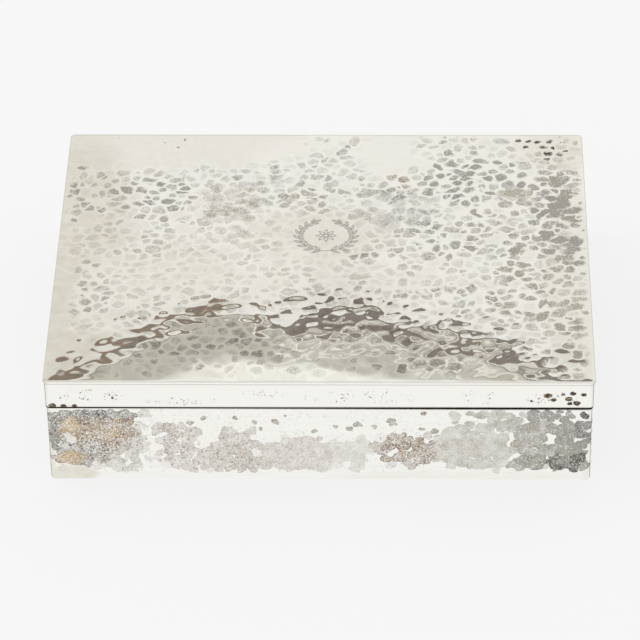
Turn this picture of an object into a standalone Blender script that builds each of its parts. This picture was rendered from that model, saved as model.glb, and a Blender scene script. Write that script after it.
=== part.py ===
"""A low silver table casket: mitred sheet walls, a gently domed lid on a full-width barrel hinge, and a cedar lining.

+X is the right-hand side, +Y is the back, where the hinge is, and +Z is up. The origin is on the table, under
the middle of the casket. All sizes are in metres.
"""

import math

import bmesh
import bpy
from mathutils import Matrix, Vector

# Driving sizes of the silver case
CASKET_WIDTH = 0.200  # outside the lid's walls, left to right
CASKET_DEPTH = 0.155  # outside the lid's walls, front to back
CASKET_HEIGHT = 0.046  # table to the edge of the lid's top
LID_HEIGHT = 0.0118  # lower edge of the lid to the edge of its top
LID_GAP = 0.0007  # dark line between the lid and the base
LID_OVERHANG = 0.0003  # the lid's walls stand this far outside the base's walls
WALL_SHEET = 0.0010
FLOOR_SHEET = 0.0009
TOP_SHEET = 0.0009
TOP_OVERHANG = 0.00025  # the top sheet stands this far outside the lid's walls
TOP_ARRIS = 0.0003  # rounding of the top sheet's upper edge
DOME_RISE = 0.0010  # the middle of the top above its edge
CORNER_RADIUS = 0.0020  # upright corners, outside
SEAM = 0.0001  # clearance in a soldered joint

# Barrel hinge, flush with the back of the lid
KNUCKLE_RADIUS = 0.0015
KNUCKLE_END_GAP = 0.0002
PIN_RADIUS = 0.0006
PIN_CLEARANCE = 0.00008
PLUG_LENGTH = 0.0016  # silver plug that hides each end of the pin
GROOVE_CLEARANCE = 0.0001  # between the barrel and the groove that it turns in
BEARER_LAND = 0.0007  # metal left on a bearer in front of the groove
BEARER_SHOULDER = 0.0032  # metal left on a bearer above or below the groove
STOP_BEVEL = math.radians(50)  # slope of the back edges, which meet when the lid is fully open
BASE_KNUCKLES = 5
LID_KNUCKLES = 4

# Cedar lining, whose sides stand above the base as the lip that guides the lid
LINING_SIDE = 0.0030
LINING_FLOOR = 0.0025
LINING_CLEARANCE = 0.0003
LIP_RISE = 0.0022
DIVIDER_THICKNESS = 0.0025
DIVIDER_DROP = 0.0030  # top of the divider below the top of the lip
DIVIDER_GROOVE = 0.0010  # depth of the groove that holds each end of the divider
DIVIDER_FIT = 0.00015
LID_LINING = 0.0020

# Overrun of every cutter past what it cuts
OVERRUN = 0.0020

# Fineness of curved shapes
CORNER_STEPS = 5  # per half corner
BARREL_SIDES = 24
GROOVE_STEPS = 20
DOME_RINGS = 7
DOME_SIDE_STEPS = 8
ARRIS_STEPS = 2

# Heights above the table
LID_EDGE = CASKET_HEIGHT - LID_HEIGHT
BASE_RIM = LID_EDGE - LID_GAP
LID_WALL_TOP = CASKET_HEIGHT - TOP_SHEET - SEAM
LINING_FOOT = FLOOR_SHEET + SEAM
PANEL_FOOT = LINING_FOOT + LINING_FLOOR + SEAM
LIP_TOP = BASE_RIM + LIP_RISE
DIVIDER_TOP = LIP_TOP - DIVIDER_DROP
LID_LINING_TOP = LID_WALL_TOP - SEAM

# Half sizes in plan
LID_HALF = Vector((CASKET_WIDTH / 2, CASKET_DEPTH / 2))
BASE_HALF = LID_HALF - Vector((LID_OVERHANG, LID_OVERHANG))
LID_INSIDE = LID_HALF - Vector((WALL_SHEET, WALL_SHEET))
BASE_INSIDE = BASE_HALF - Vector((WALL_SHEET, WALL_SHEET))
LINING_HALF = BASE_INSIDE - Vector((LINING_CLEARANCE, LINING_CLEARANCE))
TOP_HALF = LID_HALF + Vector((TOP_OVERHANG, TOP_OVERHANG))

# Hinge
GROOVE_RADIUS = KNUCKLE_RADIUS + GROOVE_CLEARANCE
HINGE_AXIS = Vector((0, LID_HALF.y - KNUCKLE_RADIUS, (LID_EDGE + BASE_RIM) / 2))
BEARER_FRONT = HINGE_AXIS.y - GROOVE_RADIUS - BEARER_LAND
BEARER_HEIGHT = GROOVE_RADIUS + BEARER_SHOULDER
BARREL_HALF = BASE_HALF.x - SEAM

# The back panel of the lining is thick enough to be rebated round the lower bearer
LINING_BACK_FACE = BEARER_FRONT - LINING_CLEARANCE - LINING_SIDE
LINING_BACK = LINING_HALF.y - LINING_BACK_FACE


def finish(name, colour, metallic, roughness):
    """A plain material of one colour."""
    material = bpy.data.materials.new(name)
    material.use_nodes = True
    shader = material.node_tree.nodes["Principled BSDF"]
    shader.inputs["Base Color"].default_value = (*colour, 1.0)
    shader.inputs["Metallic"].default_value = metallic
    shader.inputs["Roughness"].default_value = roughness
    material.diffuse_color = (*colour, 1.0)
    return material


def new_object(name, shape, material=None, location=(0, 0, 0), parent=None):
    """Turns a bmesh into an object whose origin is at location, in the casket's frame."""
    bmesh.ops.recalc_face_normals(shape, faces=shape.faces)
    mesh = bpy.data.meshes.new(name)
    shape.to_mesh(mesh)
    shape.free()
    obj = bpy.data.objects.new(name, mesh)
    bpy.context.scene.collection.objects.link(obj)
    if material:
        mesh.materials.append(material)
    obj.location = location
    if parent:
        obj.parent = parent
        obj.location = Vector(location) - parent.location
    return obj


def extruded(outline, direction):
    """A closed solid from a flat outline of 3-D points, drawn out along direction."""
    shape = bmesh.new()
    face = shape.faces.new([shape.verts.new(point) for point in outline])
    drawn = bmesh.ops.extrude_face_region(shape, geom=[face], use_keep_orig=True)
    moved = [part for part in drawn["geom"] if isinstance(part, bmesh.types.BMVert)]
    bmesh.ops.translate(shape, verts=moved, vec=direction)
    return shape


def upright(outline, low, high):
    """A plan outline stood up between two heights."""
    return extruded([(x, y, low) for x, y in outline], (0, 0, high - low))


def box(low, high):
    """A block between two opposite corners."""
    plan = [(low[0], low[1]), (high[0], low[1]), (high[0], high[1]), (low[0], high[1])]
    return upright(plan, low[2], high[2])


def arc(centre, radius, start, end, steps):
    """Points along an arc, both ends included, with its angles in degrees."""
    angles = [math.radians(start + (end - start) * step / steps) for step in range(steps + 1)]
    return [(centre[0] + radius * math.cos(a), centre[1] + radius * math.sin(a)) for a in angles]


def rounded_rectangle(half, radius, steps, side_steps=1):
    """Plan outline with round corners, its straight sides split into side_steps."""
    points = []
    for start, x_sign, y_sign in ((180, -1, -1), (270, 1, -1), (0, 1, 1), (90, -1, 1)):
        centre = (x_sign * (half.x - radius), y_sign * (half.y - radius))
        corner = arc(centre, radius, start, start + 90, steps)
        if points:
            points += between(points[-1], corner[0], side_steps)
        points += corner
    return points + between(points[-1], points[0], side_steps)


def between(first, last, steps):
    """The points that split a straight line into steps, without its ends."""
    start, along = Vector(first), Vector(last) - Vector(first)
    return [tuple(start + along * step / steps) for step in range(1, steps)]


def mitred_outline(half_length, half_depth, thickness, end_thickness, radius):
    """Plan of a wall along the front, its outside at -half_depth, mitred to the walls at its two ends.

    end_thickness holds the left and the right neighbour's thickness. A radius rounds the outer corners,
    and each wall takes half of the round.
    """
    inside = thickness - half_depth
    left_inner = (end_thickness[0] + SEAM - half_length, inside)
    right_inner = (half_length - end_thickness[1] - SEAM, inside)
    if not radius:
        outer = [(SEAM - half_length, -half_depth), (half_length - SEAM, -half_depth)]
        return [left_inner, *outer, right_inner]
    seam_angle = math.degrees(SEAM / radius)
    centre_y = radius - half_depth
    left = arc((radius - half_length, centre_y), radius, 225 + seam_angle, 270, CORNER_STEPS)
    right = arc((half_length - radius, centre_y), radius, 270, 315 - seam_angle, CORNER_STEPS)
    return [left_inner, *left, *right, right_inner]


def mitred_frame(prefix, half, thicknesses, radius, low, high, material, parent=None):
    """Four mitred walls round a rectangle, from the front, turning by way of the right-hand side."""
    walls = {}
    sides = ("front", "right", "back", "left")
    for turn, side in enumerate(sides):
        along, across = (half.x, half.y) if turn % 2 == 0 else (half.y, half.x)
        neighbours = (thicknesses[sides[turn - 1]], thicknesses[sides[(turn + 1) % 4]])
        outline = mitred_outline(along, across, thicknesses[side], neighbours, radius)
        shape = upright(outline, 0, high - low)
        bmesh.ops.rotate(shape, verts=shape.verts, matrix=Matrix.Rotation(turn * math.pi / 2, 3, "Z"))
        name = prefix.format(side)
        walls[side] = new_object(name, shape, material, (0, 0, low), parent)
    return walls


def helper(obj):
    """Marks a cutter or a guide, which is no piece of the casket."""
    obj.hide_render = True
    obj.display_type = "WIRE"
    return obj


def combine(obj, other, operation="DIFFERENCE"):
    """Adds a Boolean modifier."""
    modifier = obj.modifiers.new(operation.title(), "BOOLEAN")
    modifier.operation = operation
    modifier.object = other
    return obj


def tube(outer, bore, length, material, name, location, parent=None):
    """A round bar along X, with a bore unless bore is zero."""
    shape = bmesh.new()
    rings = []
    for radius in (outer, bore) if bore else (outer,):
        circle = arc((0, 0), radius, 0, 360, BARREL_SIDES)[:-1]
        for end in (-length / 2, length / 2):
            rings.append([shape.verts.new((end, y, z)) for y, z in circle])
    pairs = [(0, 1), (2, 3), (0, 2), (1, 3)] if bore else [(0, 1)]
    for first, second in pairs:
        for side in range(BARREL_SIDES):
            after = (side + 1) % BARREL_SIDES
            corners = (rings[first][side], rings[first][after], rings[second][after], rings[second][side])
            shape.faces.new(corners)
    if not bore:
        shape.faces.new(rings[0])
        shape.faces.new(rings[1])
    obj = new_object(name, shape, material, location, parent)
    obj.data.shade_smooth()
    obj.data.set_sharp_from_angle(angle=math.radians(40))
    return obj


def hinge_groove():
    """Cutter of the groove for the barrel and of the two stop bevels behind it, seen from the side a keyhole."""
    degrees = math.degrees(STOP_BEVEL)
    reach = KNUCKLE_RADIUS + OVERRUN
    rise = reach * math.tan(STOP_BEVEL)
    keyhole = arc((0, 0), GROOVE_RADIUS, degrees, 360 - degrees, GROOVE_STEPS)
    keyhole += [(reach, -rise), (reach, rise)]
    half_length = LID_HALF.x + OVERRUN
    shape = extruded([(-half_length, y, z) for y, z in keyhole], (2 * half_length, 0, 0))
    return helper(new_object("hinge_groove_cutter", shape, location=HINGE_AXIS))


def build_base(silver):
    """Base walls and floor. Returns the pieces that the hinge groove runs through."""
    thickness = dict.fromkeys(("front", "right", "back", "left"), WALL_SHEET)
    walls = mitred_frame("base_{}_wall", BASE_HALF, thickness, CORNER_RADIUS, 0, BASE_RIM, silver)
    half = BASE_INSIDE - Vector((SEAM, SEAM))
    new_object("base_floor", box((-half.x, -half.y, 0), (half.x, half.y, FLOOR_SHEET)), silver)
    return [walls["right"], walls["back"], walls["left"]]


def dome_height(x, y):
    """How far the top's dome stands above its edge at a place in plan."""
    across, along = x / TOP_HALF.x, y / TOP_HALF.y
    return DOME_RISE * max(0, 1 - across**2) ** 2 * max(0, 1 - along**2)


def top_ring(shape, outline, share, inset, height, domed=True):
    """One ring of the top sheet: the outline drawn in by inset, then scaled towards the middle."""
    scale_x = share * (TOP_HALF.x - inset) / TOP_HALF.x
    scale_y = share * (TOP_HALF.y - inset) / TOP_HALF.y
    ring = []
    for x, y in outline:
        place = (x * scale_x, y * scale_y)
        rise = dome_height(*place) if domed else 0
        ring.append(shape.verts.new((*place, height + rise)))
    return ring


def build_lid_top(silver, axis):
    """The top sheet: its edge, a small arris and the dome, with the same dome on its underside."""
    outline = rounded_rectangle(TOP_HALF, CORNER_RADIUS, CORNER_STEPS, DOME_SIDE_STEPS)
    shape = bmesh.new()
    shares = [1 - ring / DOME_RINGS for ring in range(DOME_RINGS)]
    upper = []
    for step in range(ARRIS_STEPS + 1):
        turn = math.pi / 2 * step / ARRIS_STEPS
        inset = TOP_ARRIS * (1 - math.cos(turn))
        height = TOP_SHEET - TOP_ARRIS * (1 - math.sin(turn))
        upper.append(top_ring(shape, outline, shares[0], inset, height, domed=False))
    upper += [top_ring(shape, outline, share, TOP_ARRIS, TOP_SHEET) for share in shares[1:]]
    lower = [top_ring(shape, outline, share, 0, 0) for share in shares]
    rings = upper[::-1] + lower
    for first, second in zip(rings, rings[1:]):
        for side, corner in enumerate(first):
            after = (side + 1) % len(first)
            shape.faces.new((corner, first[after], second[after], second[side]))
    for ring, height in ((rings[0], TOP_SHEET + DOME_RISE), (rings[-1], DOME_RISE)):
        middle = shape.verts.new((0, 0, height))
        for side, corner in enumerate(ring):
            shape.faces.new((corner, ring[(side + 1) % len(ring)], middle))
    top = new_object("lid_top", shape, silver, (0, 0, CASKET_HEIGHT - TOP_SHEET), axis)
    top.data.shade_smooth()
    top.data.set_sharp_from_angle(angle=math.radians(30))


def build_lid(silver, cedar, axis):
    """Lid walls, top sheet and lining. Returns the pieces that the hinge groove runs through."""
    thickness = dict.fromkeys(("front", "right", "back", "left"), WALL_SHEET)
    walls = mitred_frame(
        "lid_{}_wall", LID_HALF, thickness, CORNER_RADIUS, LID_EDGE, LID_WALL_TOP, silver, axis
    )
    build_lid_top(silver, axis)
    half = LID_INSIDE - Vector((LINING_CLEARANCE, LINING_CLEARANCE))
    panel = box((-half.x, -half.y, -LID_LINING), (half.x, half.y, 0))
    new_object("lid_lining", panel, cedar, (0, 0, LID_LINING_TOP), axis)
    return [walls["right"], walls["back"], walls["left"]]


def build_bearers(silver, axis):
    """The two strips inside the back walls that carry the knuckles. Each fits between its side walls."""
    bearers = []
    for name, inside, low, high, parent in (
        ("base_hinge_bearer", BASE_INSIDE, HINGE_AXIS.z - BEARER_HEIGHT, BASE_RIM, None),
        ("lid_hinge_bearer", LID_INSIDE, LID_EDGE, HINGE_AXIS.z + BEARER_HEIGHT, axis),
    ):
        half_length = inside.x - SEAM
        block = box((-half_length, BEARER_FRONT, 0), (half_length, inside.y - SEAM, high - low))
        bearers.append(new_object(name, block, silver, (0, 0, low), parent))
    return bearers


def build_barrel(silver, steel, axis):
    """Knuckles, fixed by turns to the base and to the lid, with the pin and its two end plugs."""
    count = BASE_KNUCKLES + LID_KNUCKLES
    length = (2 * BARREL_HALF - (count - 1) * KNUCKLE_END_GAP) / count
    bore = PIN_RADIUS + PIN_CLEARANCE
    outline = rounded_rectangle(LID_HALF, CORNER_RADIUS, CORNER_STEPS)
    reach = 2 * KNUCKLE_RADIUS
    envelope = upright(outline, HINGE_AXIS.z - reach, HINGE_AXIS.z + reach)
    corners = helper(new_object("barrel_corner_guide", envelope))
    for number in range(count):
        centre = length / 2 - BARREL_HALF + number * (length + KNUCKLE_END_GAP)
        owner, parent = ("lid", axis) if number % 2 else ("base", None)
        name = f"{owner}_knuckle_{number // 2 + 1}"
        place = (centre, HINGE_AXIS.y, HINGE_AXIS.z)
        knuckle = tube(KNUCKLE_RADIUS, bore, length, silver, name, place, parent)
        if number in (0, count - 1):
            combine(knuckle, corners, "INTERSECT")
    pin_half = BARREL_HALF - PLUG_LENGTH - KNUCKLE_END_GAP
    tube(PIN_RADIUS, 0, 2 * pin_half, steel, "hinge_pin", HINGE_AXIS)
    for name, side in (("pin_plug_left", -1), ("pin_plug_right", 1)):
        centre = side * (BARREL_HALF - PLUG_LENGTH / 2)
        tube(PIN_RADIUS, 0, PLUG_LENGTH, silver, name, (centre, HINGE_AXIS.y, HINGE_AXIS.z))


def build_lining(cedar):
    """Floor panel, four mitred side panels and the divider that stands in grooves between two of them."""
    half = LINING_HALF
    floor = box((-half.x, -half.y, 0), (half.x, half.y, LINING_FLOOR))
    new_object("lining_floor", floor, cedar, (0, 0, LINING_FOOT))
    thickness = {"front": LINING_SIDE, "right": LINING_SIDE, "back": LINING_BACK, "left": LINING_SIDE}
    panels = mitred_frame("lining_{}", half, thickness, 0, PANEL_FOOT, LIP_TOP, cedar)

    rebate_foot = HINGE_AXIS.z - BEARER_HEIGHT - LINING_CLEARANCE
    rebate_face = BEARER_FRONT - LINING_CLEARANCE
    low = (-half.x - OVERRUN, rebate_face, rebate_foot)
    high = (half.x + OVERRUN, half.y + OVERRUN, LIP_TOP + OVERRUN)
    rebate = helper(new_object("bearer_rebate_cutter", box(low, high)))
    for side in ("right", "back", "left"):
        combine(panels[side], rebate)

    front_end = LINING_SIDE - half.y - DIVIDER_GROOVE
    back_end = LINING_BACK_FACE + DIVIDER_GROOVE
    half_slot = DIVIDER_THICKNESS / 2 + DIVIDER_FIT
    low = (-half_slot, front_end, PANEL_FOOT - OVERRUN)
    high = (half_slot, back_end, LIP_TOP + OVERRUN)
    slot = helper(new_object("divider_slot_cutter", box(low, high)))
    for side in ("front", "back"):
        combine(panels[side], slot)
    low = (-DIVIDER_THICKNESS / 2, front_end + DIVIDER_FIT, 0)
    high = (DIVIDER_THICKNESS / 2, back_end - DIVIDER_FIT, DIVIDER_TOP - PANEL_FOOT)
    new_object("divider", box(low, high), cedar, (0, 0, PANEL_FOOT))


def main():
    for obj in list(bpy.data.objects):
        bpy.data.objects.remove(obj)
    silver = finish("silver", (0.91, 0.90, 0.86), 1.0, 0.16)
    steel = finish("steel", (0.55, 0.55, 0.56), 1.0, 0.35)
    cedar = finish("cedar", (0.42, 0.21, 0.10), 0.0, 0.55)

    axis = bpy.data.objects.new("lid_hinge_axis", None)
    axis.location = HINGE_AXIS
    bpy.context.scene.collection.objects.link(axis)

    grooved = build_base(silver) + build_lid(silver, cedar, axis) + build_bearers(silver, axis)
    groove = hinge_groove()
    for piece in grooved:
        combine(piece, groove)
    build_barrel(silver, steel, axis)
    build_lining(cedar)
    bpy.context.view_layer.update()


main()
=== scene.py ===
"""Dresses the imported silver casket: hammered and tarnished silver, barrel hinge, cedar lining, studio.

All sizes are in metres. +X is the casket's right, +Y its back, +Z up.
"""

import math
from typing import NamedTuple

import bmesh
import bpy
import numpy as np
from bpy.props import FloatProperty, FloatVectorProperty, IntProperty, PointerProperty
from mathutils import Matrix, Quaternion, Vector


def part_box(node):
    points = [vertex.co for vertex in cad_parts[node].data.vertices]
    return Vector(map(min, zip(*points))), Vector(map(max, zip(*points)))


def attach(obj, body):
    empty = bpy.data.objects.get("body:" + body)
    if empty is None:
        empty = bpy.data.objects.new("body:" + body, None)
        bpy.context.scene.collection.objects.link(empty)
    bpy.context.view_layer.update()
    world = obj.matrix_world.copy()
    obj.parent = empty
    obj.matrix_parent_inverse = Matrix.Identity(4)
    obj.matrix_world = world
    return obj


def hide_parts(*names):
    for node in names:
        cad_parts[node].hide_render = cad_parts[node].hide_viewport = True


bl_info = {
    "name": "Silver casket",
    "version": (1, 0, 0),
    "blender": (4, 5, 0),
    "location": "3D View > Sidebar > Casket",
    "description": "Builds the looks of a hammered silver casket round its packed CAD model",
    "category": "Object",
}

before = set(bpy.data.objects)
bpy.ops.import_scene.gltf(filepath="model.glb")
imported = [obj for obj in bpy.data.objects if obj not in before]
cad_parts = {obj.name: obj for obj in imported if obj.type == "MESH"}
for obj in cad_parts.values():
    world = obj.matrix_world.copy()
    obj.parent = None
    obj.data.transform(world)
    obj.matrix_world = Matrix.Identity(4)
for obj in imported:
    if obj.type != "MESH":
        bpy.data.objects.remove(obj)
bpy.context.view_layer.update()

MM = 0.001

# Outlines, as in the CAD model
LID_HALF = Vector((100.0, 77.5)) * MM
BASE_HALF = Vector((99.7, 77.2)) * MM
TOP_HALF = Vector((100.25, 77.75)) * MM
CORNER_RADIUS = 2.0 * MM
WALL_SHEET = 1.0 * MM
SEAM = 0.1 * MM
EDGE_ROUND = 0.12 * MM
DOME_RISE = 0.97 * MM
BASE_RIM = 33.5 * MM
LID_RIM = 34.2 * MM
LID_WALL_TOP = 45.0 * MM
TOP_LOW = 45.1 * MM
TOP_EDGE = 46.0 * MM
ARRIS = 0.3 * MM

# Barrel hinge, as in the CAD model
AXIS_Y = 76.0 * MM
AXIS_Z = 33.85 * MM
GROOVE_RADIUS = 1.6 * MM
STOP_BEVEL = math.radians(50)
KNUCKLE_RADIUS = 1.5 * MM
BORE_RADIUS = 0.68 * MM
PIN_RADIUS = 0.6 * MM
BARREL_CHAMFER = 0.12 * MM
BARREL_SIDES = 48
CUTTER_OVERRUN = 2.0 * MM

# Engraved wreath
WREATH_PLACE = Vector((1.2, 10.0)) * MM
WREATH_HALF = Vector((14.5, 13.0)) * MM
WREATH_WINDOW = Vector((15.2, 13.8)) * MM
LINE_WIDTH = 0.40 * MM
LINE_DEPTH = 0.05 * MM
STEM_HALF = (10.3 * MM, 9.6 * MM)
LEAF_PAIRS = 9
LEAF_TURN = 38
LEAF_WIDTH = 0.62 * MM
PETALS = 8

# Fineness of the meshes
TOP_COLUMNS = 250
TOP_ROWS = 190
FINE_CUTS = 5
WIDE, DEEP = TOP_COLUMNS * FINE_CUTS, TOP_ROWS * FINE_CUTS
UNDERSIDE_SIZE = 10 * FINE_CUTS
WALL_STEP = 0.5 * MM
CORNER_STEPS = 6
GROOVE_STEPS = 40
GUIDE_STEPS = 12
SHARP_ANGLE = math.radians(30)
BEVEL_ANGLE = math.radians(40)

# How many marks a face knows, the distance that means none, and the squares in which they are sought
NEAR_MARKS = 4
NO_MARK = 9.0
TILE = 10.0 * MM
# A patch is whole up to this reach less the fade, in its own half sizes
PATCH_REACH = 1.25
PATCH_FADE = 0.5
# Tarnish of the single spots, tarnish and tint of the deep marks, and how far in from the lid's edge its
# unevenness begins
SPOT_TARNISH = 1.25
DEEP_TARNISH = 0.5
DEEP_TINT = 0.2
EDGE_CALM = 4.0 * MM
RIPPLE_LENGTHS = np.geomspace(8.0, 24.0, 18) * MM
CLUSTER_LENGTHS = np.geomspace(12.0, 45.0, 14) * MM

# A wave texture of this scale times its width has one wave in each year ring
RING_TURN = 0.63
# How slowly cedar changes along its grain, against across it
ALONG_GRAIN = 0.06

# Colours that stay as they are
YELLOW_FILM = (0.52, 0.44, 0.27)
DARK_RIM = (0.14, 0.12, 0.125)
DARK_LINE = (0.13, 0.125, 0.12)
DARK_SPOT = (0.06, 0.05, 0.045)
BROWN_SPOT = (0.34, 0.28, 0.19)
DIM_STEEL = (0.50, 0.50, 0.51)
BRIGHT_STEEL = (0.62, 0.62, 0.63)
FAR_FLOOR = (0.60, 0.60, 0.59)
BRIGHT_GLOW = (0.97, 0.96, 0.91)

# Studio
FLOOR_REACH = 6.0
LAMP_PLACE = (-1.5, 0.3, 1.5)
LAMP_SIZE = 1.1
SENSOR_WIDTH = 36.0
NEAREST_SEEN = 0.05
FURTHEST_SEEN = 50.0


class Hammering(NamedTuple):
    """How one kind of sheet is hammered.

    spread sets the marks further apart, growth makes them larger, lean turns them, and variety is how
    much neighbours differ. Marks with less tarnish than about cut stay bright. No mark lies in the
    margins, which are left, right, low and high.
    """

    spread: float
    growth: float
    lean: float
    variety: float
    cut: float
    margins: tuple


class StainLook(NamedTuple):
    """How the tarnish looks on one kind of sheet."""

    softness: float
    line: float
    low: float
    high: float
    speckle: float
    shade: float
    haze: float
    rims: float
    warmth: float


LID_HAMMERING = Hammering(spread=1.27, growth=1.76, lean=0.0, variety=1.0, cut=0.0, margins=(2.2 * MM,) * 4)
WALL_HAMMERING = Hammering(spread=1.0, growth=1.07, lean=-0.35, variety=0.3, cut=0.3,
                           margins=(2.0 * MM, 2.0 * MM, 4.4 * MM, 1.5 * MM))
LID_LOOK = StainLook(softness=0.75, line=0.42, low=0.0, high=1.0, speckle=4.0, shade=1.9, haze=1.0,
                     rims=0.0, warmth=-0.03)
WALL_LOOK = StainLook(softness=0.14, line=0.20, low=0.20, high=0.60, speckle=1.7, shade=1.6, haze=0.0,
                      rims=0.85, warmth=0.07)

# Places where the lid's marks and tarnish differ from the rest, in millimetres from the lid's middle:
# x, y, half width, half depth, tarnish, tint, depth of the marks, how far they run together
LID_REST = (0.52, 0.26, 0.30, 0.40)
LID_PATCHES = (
    (48, 5, 62, 64, 0.72, 0.2, 0.5, 0.45), (-20, 45, 45, 18, 0.62, 0.08, 0.3, 0.55),
    (-2, 62, 18, 12, 0.6, 0.05, 0.3, 0.3), (26, 62, 15, 17, 0.06, 0.05, 0.1, 0.2),
    (60, 68, 26, 7, 0.62, 0.15, 0.3, 0.2), (-60, 69, 56, 14, 0, 0.35, 0.05, 0),
    (-85, 40, 16, 13, 0.9, 0.12, 0.3, 0.3), (-64, 38, 15, 12, 0.95, 0.12, 0.3, 0.3),
    (-64, 16, 22, 13, 0.66, 0.2, 0.3, 0.3), (-88, 8, 11, 12, 0.45, 0.35, 0.3, 0.1),
    (-85, -6, 8, 6, 0.85, 0.25, 0.3, 0.2), (-36, 30, 13, 14, 0.72, 0.36, 0.3, 0.85),
    (-28, 4, 30, 13, 0.45, 0.45, 0.3, 0.6), (-8, 32, 8, 6, 0.8, 0.42, 0.3, 0.6),
    (2, 11, 16, 13, 0.18, 0.4, 0.3, 0.3), (27, 27, 15, 14, 0.68, 0.04, 0.4, 0.8),
    (33, 47, 9, 7, 0.8, 0.45, 0.4, 0.3), (57, 45, 21, 14, 1.08, 0.1, 0.6, 0.48),
    (74, 36, 8, 6, 0.8, 0.36, 0.6, 0.8), (72, 14, 27, 18, 0.95, 0.25, 0.6, 0.5),
    (91, 21, 10, 34, 1.6, 0.13, 0.6, 0.66), (40, -12, 32, 9, 0.52, 0.32, 0.5, 0.4),
    (80, -28, 20, 22, 0.98, 0.3, 0.6, 0.55), (86, -58, 12, 15, 1.12, 0.25, 0.7, 0.2),
    (-34, -12, 50, 11, 0.4, 0.42, 0.2, 0.45), (-86, -30, 10, 15, 0.85, 0.2, 0.25, 0.45),
    (-98, -30, 5, 60, 0, 0.36, 0.05, 0), (-90, -57, 10, 8, 0, 0.38, 0.05, 0),
    (-46, -59, 28, 13, 0.72, 0.1, 0.25, 0.35), (36, -52, 48, 14, 0.5, 0.3, 1.05, 0.5),
    (8, -37, 30, 11, 0.4, 0.3, 2.2, 0.5), (-48, -42, 30, 10, 0.45, 0.2, 0.8, 0.4),
    (-84, -60, 12, 12, 0, 0.4, 0.45, 0.2), (34, -66, 18, 6, 1.05, 0.12, 0.6, 0.1),
    (66, -70, 15, 7, 0, 0.3, 0.3, 0.1), (92, -68, 9, 9, 1.15, 0.3, 0.7, 0.4),
    (0, -77, 110, 4, 0, 0.3, 0.05, 0),
)
# The thin film over the lid's bright metal: x, y, half width, half depth, share of haze, yellow
FILM_REST = (0.95, 0.0)
FILM_PATCHES = (
    (-95, -5, 24, 78, 1.1, 0.27), (-60, -25, 30, 35, 1, 0.1), (0, 10, 28, 18, 0.9, 0.12),
    (0, -22, 50, 14, 0.55, 0.08), (15, 60, 42, 20, 0.35, 0), (90, 66, 13, 13, 1.2, 0.12),
    (94, -20, 12, 60, 1, 0.13),
)
# Single spots on the lid: x, y, radius, tint
LID_SPOTS = (
    (-81.2, 75, 0.9, 0), (-63, 72, 1, 0), (-55.3, 74.1, 1.2, 0), (-57.4, 68.7, 1.2, 0),
    (-94.1, 55.2, 2.5, 0.1), (-94.9, 21.2, 2.9, 0.1), (75.4, 73.7, 1.7, -0.19), (79.2, 73, 1.6, -0.19),
    (82.5, 72.4, 1.8, -0.25), (87.5, 73.2, 2, -0.31), (91.7, 72, 1, -0.22), (84.7, 69.3, 2.1, -0.25),
    (88.6, 68.7, 1.6, -0.31), (93.7, 66.9, 1.7, -0.25), (86.4, 64.7, 2.5, -0.28), (91.4, 64.3, 2.2, -0.28),
    (85.9, 61, 2.1, -0.19), (77.6, 69.3, 1.7, -0.19), (72.4, 57, 2.9, 0.05), (66.7, 58.5, 2.7, 0.15),
    (71.6, 52.6, 2.6, 0.15), (76.1, 50.3, 2.9, 0.15),
)
# Deep marks, each of which mirrors something dark: x, y, radius, depth in thousandths of a millimetre
DEEP_MARKS = (
    (-88.8, -26.9, 1.9, 20), (-71.2, -28.5, 1.4, 15), (-73, -40.2, 2, 16), (-75.8, -41.5, 1.7, 14),
    (-63.4, -39, 1.5, 12), (-58.3, -37.8, 1.9, 14), (-52.5, -32.3, 1.5, 12), (-46.5, -29.3, 2.3, 18),
    (-43, -28.3, 2.2, 18), (-88.1, -54, 1.4, 12), (16.8, -25.4, 2.4, 19), (44.7, -38.5, 1.4, 14),
    (51.1, -39.7, 1.6, 15), (47.4, -42.1, 1.5, 13), (53.6, -44.6, 2, 15), (76.8, -58.8, 2, 15),
    (75.9, -63.9, 1.4, 12), (85.5, -71.5, 2.2, 14),
)
# Broad unevenness of the lid: x, y, half width, half depth, share of the full unevenness
RIPPLE_REST = (0.5,)
RIPPLES = (
    (-60, -50, 42, 40, 0.3), (20, -42, 45, 24, 0.75), (72, -58, 24, 20, 0.5), (0, -77, 110, 5, 0.2),
)
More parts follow.
